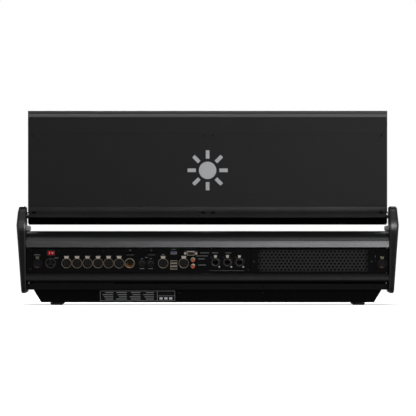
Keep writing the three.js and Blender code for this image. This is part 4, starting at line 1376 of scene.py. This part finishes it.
@dataclass
class ControlSurface:
    """The sloping panel with faders, keys, encoders, screens, wheel and ball."""

    encoder_row: float = 158.0
    key_rise: float = 3.0
    ball: float = 20.3
    executor_rows: tuple[float, ...] = (34, 148, 168, 276, 298)
    executor_key: tuple[float, float] = (26, 13)
    executor_windows: tuple[tuple[float, float], ...] = ((24, 44), (138, 178), (266, 308))
    key_blocks: tuple[KeyBlock, ...] = (
        KeyBlock((-2, 18), 10, 5, (25.4, 23), (19, 14)),
        KeyBlock((264, 18), 4, 4, (23.5, 23), (18, 14), ("0.-", "123", "456", "789")),
        KeyBlock((240, 186), 7, 5, (23.8, 25.4), (18, 14)),
    )
    place: Matrix = field(init=False)

    def __post_init__(self) -> None:
        """Find the sloping panel's own frame from a fader's and an encoder's axes."""
        up = Vector(joint("fader_1_slide")["axis"])
        encoder = joint("encoder_1_turn")
        origin = Vector(encoder["pos_m"]) - up * self.encoder_row * MM
        self.place = local_frame((0, origin.y, origin.z), up, encoder["axis"])
        self.fader_x = [centre_mm(f"fader_{i}").x for i in range(1, 11)]

    def build(self) -> None:
        """Build everything under the operator's hands."""
        dress("control_panel", POWDER)
        dress("palm_rest", PALM_SKIN, 0.8)
        dress("fader_board", BOARD, 0.3)
        self._executor_keys()
        self._command_keys()
        self._screens()
        self._faders()
        self._encoders()
        self._ball_and_wheel()
        self._play_keys()
        self._print()

    def _key(self, work: Workpiece, x: float, v: float, wide: float, tall: float) -> None:
        """Add a silicone key with a sunken top.

        Args:
            work: The mat that takes it.
            x: Its middle across the desk.
            v: Its middle up the slope.
            wide: Its width.
            tall: Its depth.
        """
        top = self.key_rise
        sides = ((0, -0.6), (0, top - 1.1), (0.35, top - 0.35))
        steps = (*sides, (1.0, top), (1.9, top - 0.1), (3.4, top - 0.45))
        rings = [(wide / 2 - inset, tall / 2 - inset, z) for inset, z in steps]
        work.loft(rings, (x, v), KEY_SILICONE)

    def _pad(self, work: Workpiece, x0: float, x1: float, v0: float, v1: float) -> None:
        """Add the mat's floor in a window of the panel."""
        work.block((x0 + 0.5, v0 + 0.5, -6), (x1 - 0.5, v1 - 0.5, -0.5), RUBBER)

    def _executor_keys(self) -> None:
        """Build the executor mat: rows of keys above and below the faders."""
        work = Workpiece("executor_key_mat", self.place)
        for v0, v1 in self.executor_windows:
            self._pad(work, -407, -27, v0, v1)
        wide, tall = self.executor_key
        for v in self.executor_rows:
            for x in self.fader_x:
                self._key(work, x, v, wide, tall)
                lamp = v + tall / 2 + 1.2
                work.block((x - 3, lamp - 0.4, -0.5), (x + 3, lamp + 0.4, -0.2), DIM_INK)
        work.done("desk_base", 0.7, ("executor_keys",))

    def _command_keys(self) -> None:
        """Build the command, number and view keys, with figures on the number keys."""
        work = Workpiece("command_key_mat", self.place)
        for block in self.key_blocks:
            left, foot = block.corner
            wide, deep = block.columns * block.pitch[0], block.rows * block.pitch[1]
            self._pad(work, left, left + wide, foot, foot + deep)
            for i, j in itertools.product(range(block.columns), range(block.rows)):
                x, v = block.middle(i, j)
                self._key(work, x, v, *block.key)
                if not block.figures:
                    bar, rise = 3.5 + (i * 3 + j) % 4, self.key_rise
                    low, high = (x - bar, v - 0.6, rise - 0.02), (x + bar, v + 0.6, rise + 0.06)
                    work.block(low, high, WHITE_MARK)
        work.done("desk_base", 0.7, ("command_keys",))
        for block in self.key_blocks:
            self._figures(block)

    def _figures(self, block: KeyBlock) -> None:
        """Print the figures on the keys of a block that has them.

        Args:
            block: The block of keys.
        """
        for j, row in enumerate(block.figures):
            for i, figure in enumerate(row):
                text = bpy.data.curves.new(f"figure_{j}{i}", "FONT")
                text.body = figure
                text.size = 9 * MM
                text.extrude = 0.03 * MM
                text.align_x = text.align_y = "CENTER"
                text.materials.append(WHITE_MARK.material())
                made = bpy.data.objects.new(f"figure_{j}{i}", text)
                bpy.context.collection.objects.link(made)
                spot = Vector((*block.middle(i, j), self.key_rise + 0.04)) * MM
                made.matrix_world = self.place @ Matrix.Translation(spot)
                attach(made, "desk_base")

    def _screens(self) -> None:
        """Dress the command and strip screens and lay their display layers."""
        for node, (x0, x1, v0, v1) in {
            "command_screen": (2, 216, 194, 306),
            "strip_screen": (-401, -33, 196, 246),
        }.items():
            dress(node, SCREEN_GLASS, 0.2)
            work = Workpiece(f"{node}_display", self.place)
            work.block((x0, v0, -0.4), (x1, v1, -0.24), DISPLAY)
            work.done("desk_base")

    def _faders(self) -> None:
        """Dress each fader cap and give it its index line."""
        for i, x in enumerate(self.fader_x, start=1):
            dress(f"fader_{i}", FADER_CAP, 0.5)
            work = Workpiece(f"fader_line_{i}", self.place)
            middle = (self.place.inverted() @ (centre_mm(f"fader_{i}") * MM)).y / MM
            work.block((x - 6.1, middle - 0.7, 8), (x + 6.1, middle + 0.7, 13.25), NYLON)
            work.done(f"fader_{i}_body")

    def _encoders(self) -> None:
        """Build the knurled encoders, each on its own body."""
        skirt = [(0, 1.2), (12.4, 1.2), (13.0, 1.8), (12.7, 10.2), (12.0, 11.2)]
        cap = [(9.4, 12.0), (9.0, 20.8), (8.2, 21.8), (0, 22.0)]
        for i in range(1, 5):
            at = local_mm(self.place, joint(f"encoder_{i}_turn")["pos_m"])
            work = Workpiece(f"knurled_encoder_{i}", self.place)
            work.lathe([(3, -8), (3, 1.3)], tuple(at), Axis.Z, BRIGHT_PIN, 20)
            work.lathe(skirt + cap, tuple(at), Axis.Z, ABS, 96, flutes=24, flute_depth=0.7)
            work.block((at.x - 0.5, at.y + 4.5, 21.9), (at.x + 0.5, at.y + 8.0, 22.1), WHITE_MARK)
            work.done(f"encoder_{i}_body", 0.0, (f"encoder_{i}",))

    def _ball_and_wheel(self) -> None:
        """Build the trackball with its ring, and the ribbed level wheel."""
        ball = Workpiece("resin_trackball", self.place)
        at = local_mm(self.place, joint("trackball_roll")["pos_m"])
        turns = [math.pi * i / 28 for i in range(29)]
        profile = [(self.ball * math.sin(t), self.ball * math.cos(t)) for t in turns]
        profile[0], profile[-1] = (0, self.ball), (0, -self.ball)
        ball.lathe(profile, tuple(at), Axis.Z, RED_RESIN, 56)
        ball.done("trackball_body", 0.0, ("trackball",))
        ring = Workpiece("trackball_ring", self.place)
        lip = [(21.9, 0.0), (22.3, 0.9), (25.5, 1.0), (26.4, 0.0)]
        ring.lathe(lip, (at.x, at.y, 0), Axis.Z, BLACK_OXIDE, 56)
        ring.done("desk_base", 0.0)
        spin = local_mm(self.place, joint("level_wheel_roll")["pos_m"])
        wheel = Workpiece("ribbed_level_wheel", self.place)
        rim = [(0, -7), (27, -7), (29.6, -6), (30, -5), (30, 5), (29.6, 6), (27, 7), (0, 7)]
        wheel.lathe(rim, tuple(spin), Axis.X, RUBBER, 144, flutes=36, flute_depth=0.9)
        wheel.lathe([(3, -12), (3, 12)], tuple(spin), Axis.X, BRIGHT_PIN, 16)
        wheel.done("level_wheel_body", 0.0, ("level_wheel",))

    def _play_keys(self) -> None:
        """Dress the play keys and mark them with plain shapes."""
        for name in ("back_key", "pause_key", "go_key"):
            dress(name, KEY_SILICONE, 1.0)
            at = local_mm(self.place, centre_mm(name) * MM)
            work = Workpiece(f"{name}_mark", self.place)
            top = 5.5
            if name == "pause_key":
                for x in (at.x - 2.4, at.x + 2.4):
                    low, high = (x - 1, at.y - 4, top - 0.05), (x + 1, at.y + 4, top + 0.08)
                    work.block(low, high, WHITE_MARK)
            else:
                way = 1 if name == "go_key" else -1
                tail = at.x - 3.4 * way
                arrow = [(tail, at.y - 4), (at.x + 4 * way, at.y), (tail, at.y + 4)]
                work.prism(arrow, top - 0.05, top + 0.08, Axis.Z, WHITE_MARK)
            work.done(f"{name}_body")

    def _print(self) -> None:
        """Print the fader scales and the lines round the blocks of keys."""
        work = Workpiece("panel_print", self.place)
        for x in self.fader_x:
            for i in range(11):
                v = 63 + i * 6
                long = 4.0 if i % 5 == 0 else 2.4
                work.block((x + 8, v - 0.2, 0.0), (x + 8 + long, v + 0.2, 0.08), DIM_INK)
        for v in (52, 134, 184, 258):
            work.block((-405, v - 0.25, 0.0), (-29, v + 0.25, 0.08), DIM_INK)
        work.done("desk_base")


@dataclass
class KeyboardDrawer:
    """The drawer that slides out under the palm rest, with its keyboard."""

    pitch: float = 20.0
    first_keys: tuple[float, ...] = (26, 30, 34, 40, 18, 18)  # one for each row, from the front
    key: float = 16.5
    key_gap: float = 2.6
    key_deep: float = 16
    key_rise: float = 4.6
    least_key: float = 16
    space_bar: float = 110
    space_middle: float = -60
    margin: float = 8
    case_drop: float = 5

    def build(self) -> None:
        """Dress the drawer and build the keyboard key by key."""
        dress("drawer_tray", POWDER, 0.6)
        low, high = (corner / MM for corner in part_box("keyboard"))
        case_top = high.z - self.case_drop
        work = Workpiece("keyboard_with_keys")
        work.block(tuple(low), (high.x, high.y, case_top), ABS)
        for row, first in enumerate(self.first_keys):
            y = low.y + 10 + row * self.pitch
            x = low.x + self.margin
            span = first
            while x + self.least_key < high.x - 6:
                if row == 0 and abs(x - self.space_middle) < 30:
                    span = self.space_bar
                span = min(span, high.x - self.margin - x)
                corner = (x + span, y + self.key_deep, case_top + self.key_rise)
                work.block((x, y, case_top - 0.4), corner, NYLON)
                x += span + self.key_gap
                span = self.key
        work.done("keyboard_drawer", 1.2, ("keyboard",))
        handle = Workpiece("drawer_grip")
        tray_low, tray_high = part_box("drawer_tray")
        front, top = tray_low.y / MM, tray_high.z / MM
        handle.block((-40, front - 1.2, top - 13), (40, front + 0.2, top - 11.4), BLACK_OXIDE)
        handle.done("keyboard_drawer", 0.4)


@dataclass(frozen=True)
class Softbox:
    """A soft light that looks at the desk, with its place and size in metres and power in watts."""

    name: str
    at: Point
    size: tuple[float, float]
    power: float
    shines: bool = True

    def hang(self) -> None:
        """Hang the softbox; one that doesn't shine gives light but no highlight."""
        light = bpy.data.lights.new(self.name, "AREA")
        light.shape = "RECTANGLE"
        light.size, light.size_y = self.size
        light.energy = self.power
        lamp = bpy.data.objects.new(self.name, light)
        lamp.location = self.at
        way = Vector((0, 0, 0.2)) - Vector(self.at)
        lamp.rotation_euler = way.to_track_quat("-Z", "Y").to_euler()
        lamp.visible_camera = False
        lamp.visible_glossy = self.shines
        bpy.context.collection.objects.link(lamp)


@dataclass
class Studio:
    """Pale floor, soft light and the camera behind the desk."""

    distance: float = 40.0
    frame_width: float = 0.9526
    focus_depth: float = 0.06
    eye_x: float = -0.0009
    eye_height: float = 0.222
    sensor: float = 36.0
    floor_reach: float = 90.0
    paper_glow: tuple[float, float] = (0.6, 0.97)
    room_glow: float = 0.05
    side_glow: float = 0.35
    front_glow: float = 0.5
    softboxes: tuple[Softbox, ...] = (
        Softbox("rear_key", (-0.95, 2.6, 0.28), (2.0, 0.45), 34),
        Softbox("rear_fill", (1.3, 2.6, 0.35), (1.4, 0.6), 5),
        Softbox("rear_mid", (0.1, 2.8, 1.15), (2.6, 0.5), 7),
        Softbox("high_right", (-0.9, 1.6, 2.3), (1.6, 0.7), 9),
        Softbox("high_left", (0.9, 1.6, 2.3), (1.6, 0.7), 6),
        Softbox("front_softbox", (0.8, -3.0, 1.0), (2.4, 1.0), 50),
        Softbox("front_high", (-0.3, -2.2, 2.2), (2.4, 0.8), 25),
        Softbox("top_softbox", (0.0, -0.6, 2.8), (2.6, 1.6), 40, shines=False),
    )

    def build(self) -> None:
        """Build the floor, the lights and the camera."""
        self._floor()
        self._world()
        for softbox in self.softboxes:
            softbox.hang()
        self._camera()
        bpy.context.scene.view_settings.view_transform = "Standard"

    def _floor(self) -> None:
        """Lay the pale floor, which glows more far off and casts nothing on the desk."""
        work = bmesh.new()
        bmesh.ops.create_grid(work, x_segments=8, y_segments=8, size=self.floor_reach)
        data = bpy.data.meshes.new("studio_floor")
        work.to_mesh(data)
        work.free()
        floor = bpy.data.objects.new("studio_floor", data)
        floor.visible_diffuse = False
        floor.visible_glossy = False
        bpy.context.collection.objects.link(floor)
        data.materials.append(STUDIO_PAPER.material())
        tree = data.materials[0].node_tree
        place = add_node(tree, "ShaderNodeTexCoord").outputs["Object"]
        away = add_node(tree, "ShaderNodeVectorMath", {0: place}, operation="LENGTH")
        near, far = self.paper_glow
        glow = add_node(
            tree, "ShaderNodeMapRange", {0: away.outputs["Value"], 1: 1.2, 2: 4.0, 3: near, 4: far}
        )
        shader = tree.nodes["Principled BSDF"]
        tree.links.new(glow.outputs[0], shader.inputs["Emission Strength"])
        shader.inputs["Emission Color"].default_value = linear("#ffffff")

    def _world(self) -> None:
        """Light the room: seen white, dark behind the desk, brighter at its sides and front."""
        world = bpy.data.worlds.new("studio")
        bpy.context.scene.world = world
        world.use_nodes = True
        tree = world.node_tree
        seen = add_node(tree, "ShaderNodeLightPath").outputs["Is Camera Ray"]
        way = add_node(tree, "ShaderNodeTexCoord").outputs["Generated"]
        split = add_node(tree, "ShaderNodeSeparateXYZ", {0: way})
        aside = add_node(tree, "ShaderNodeMath", {0: split.outputs["X"]}, operation="ABSOLUTE")
        sides = add_node(
            tree,
            "ShaderNodeMapRange",
            {0: aside.outputs[0], 1: 0.35, 2: 0.75, 3: self.room_glow, 4: self.side_glow},
        )
        front = add_node(
            tree,
            "ShaderNodeMapRange",
            {0: split.outputs["Y"], 1: -0.5, 2: -0.85, 3: self.room_glow, 4: self.front_glow},
        )
        both = add_node(
            tree,
            "ShaderNodeMath",
            {0: sides.outputs[0], 1: front.outputs[0]},
            operation="MAXIMUM",
        )
        glow = add_node(tree, "ShaderNodeMapRange", {0: seen, 3: both.outputs[0], 4: 1.0})
        back = tree.nodes["Background"]
        back.inputs["Color"].default_value = linear("#ffffff")
        tree.links.new(glow.outputs[0], back.inputs["Strength"])

    def _camera(self) -> None:
        """Stand the camera level behind the desk, with a long lens."""
        data = bpy.data.cameras.new("rear_camera")
        data.sensor_width = self.sensor
        data.lens = self.sensor * self.distance / self.frame_width
        data.clip_end = 3 * self.distance
        camera = bpy.data.objects.new("rear_camera", data)
        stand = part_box("fan_grille")[1].y - self.focus_depth + self.distance
        camera.location = (self.eye_x, stand, self.eye_height)
        camera.rotation_euler = (math.radians(90), 0, math.radians(180))
        bpy.context.collection.objects.link(camera)
        bpy.context.scene.camera = camera


def main() -> None:
    """Build the desk's looks in order."""
    logging.basicConfig(level=logging.INFO, format="%(name)s: %(message)s")
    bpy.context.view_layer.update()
    parts = (Base(), RearPanel(), MonitorWing(), ControlSurface(), KeyboardDrawer(), Studio())
    for part in parts:
        part.build()
        LOG.info("%s built", type(part).__name__)


if __name__ == "__main__":
    main()
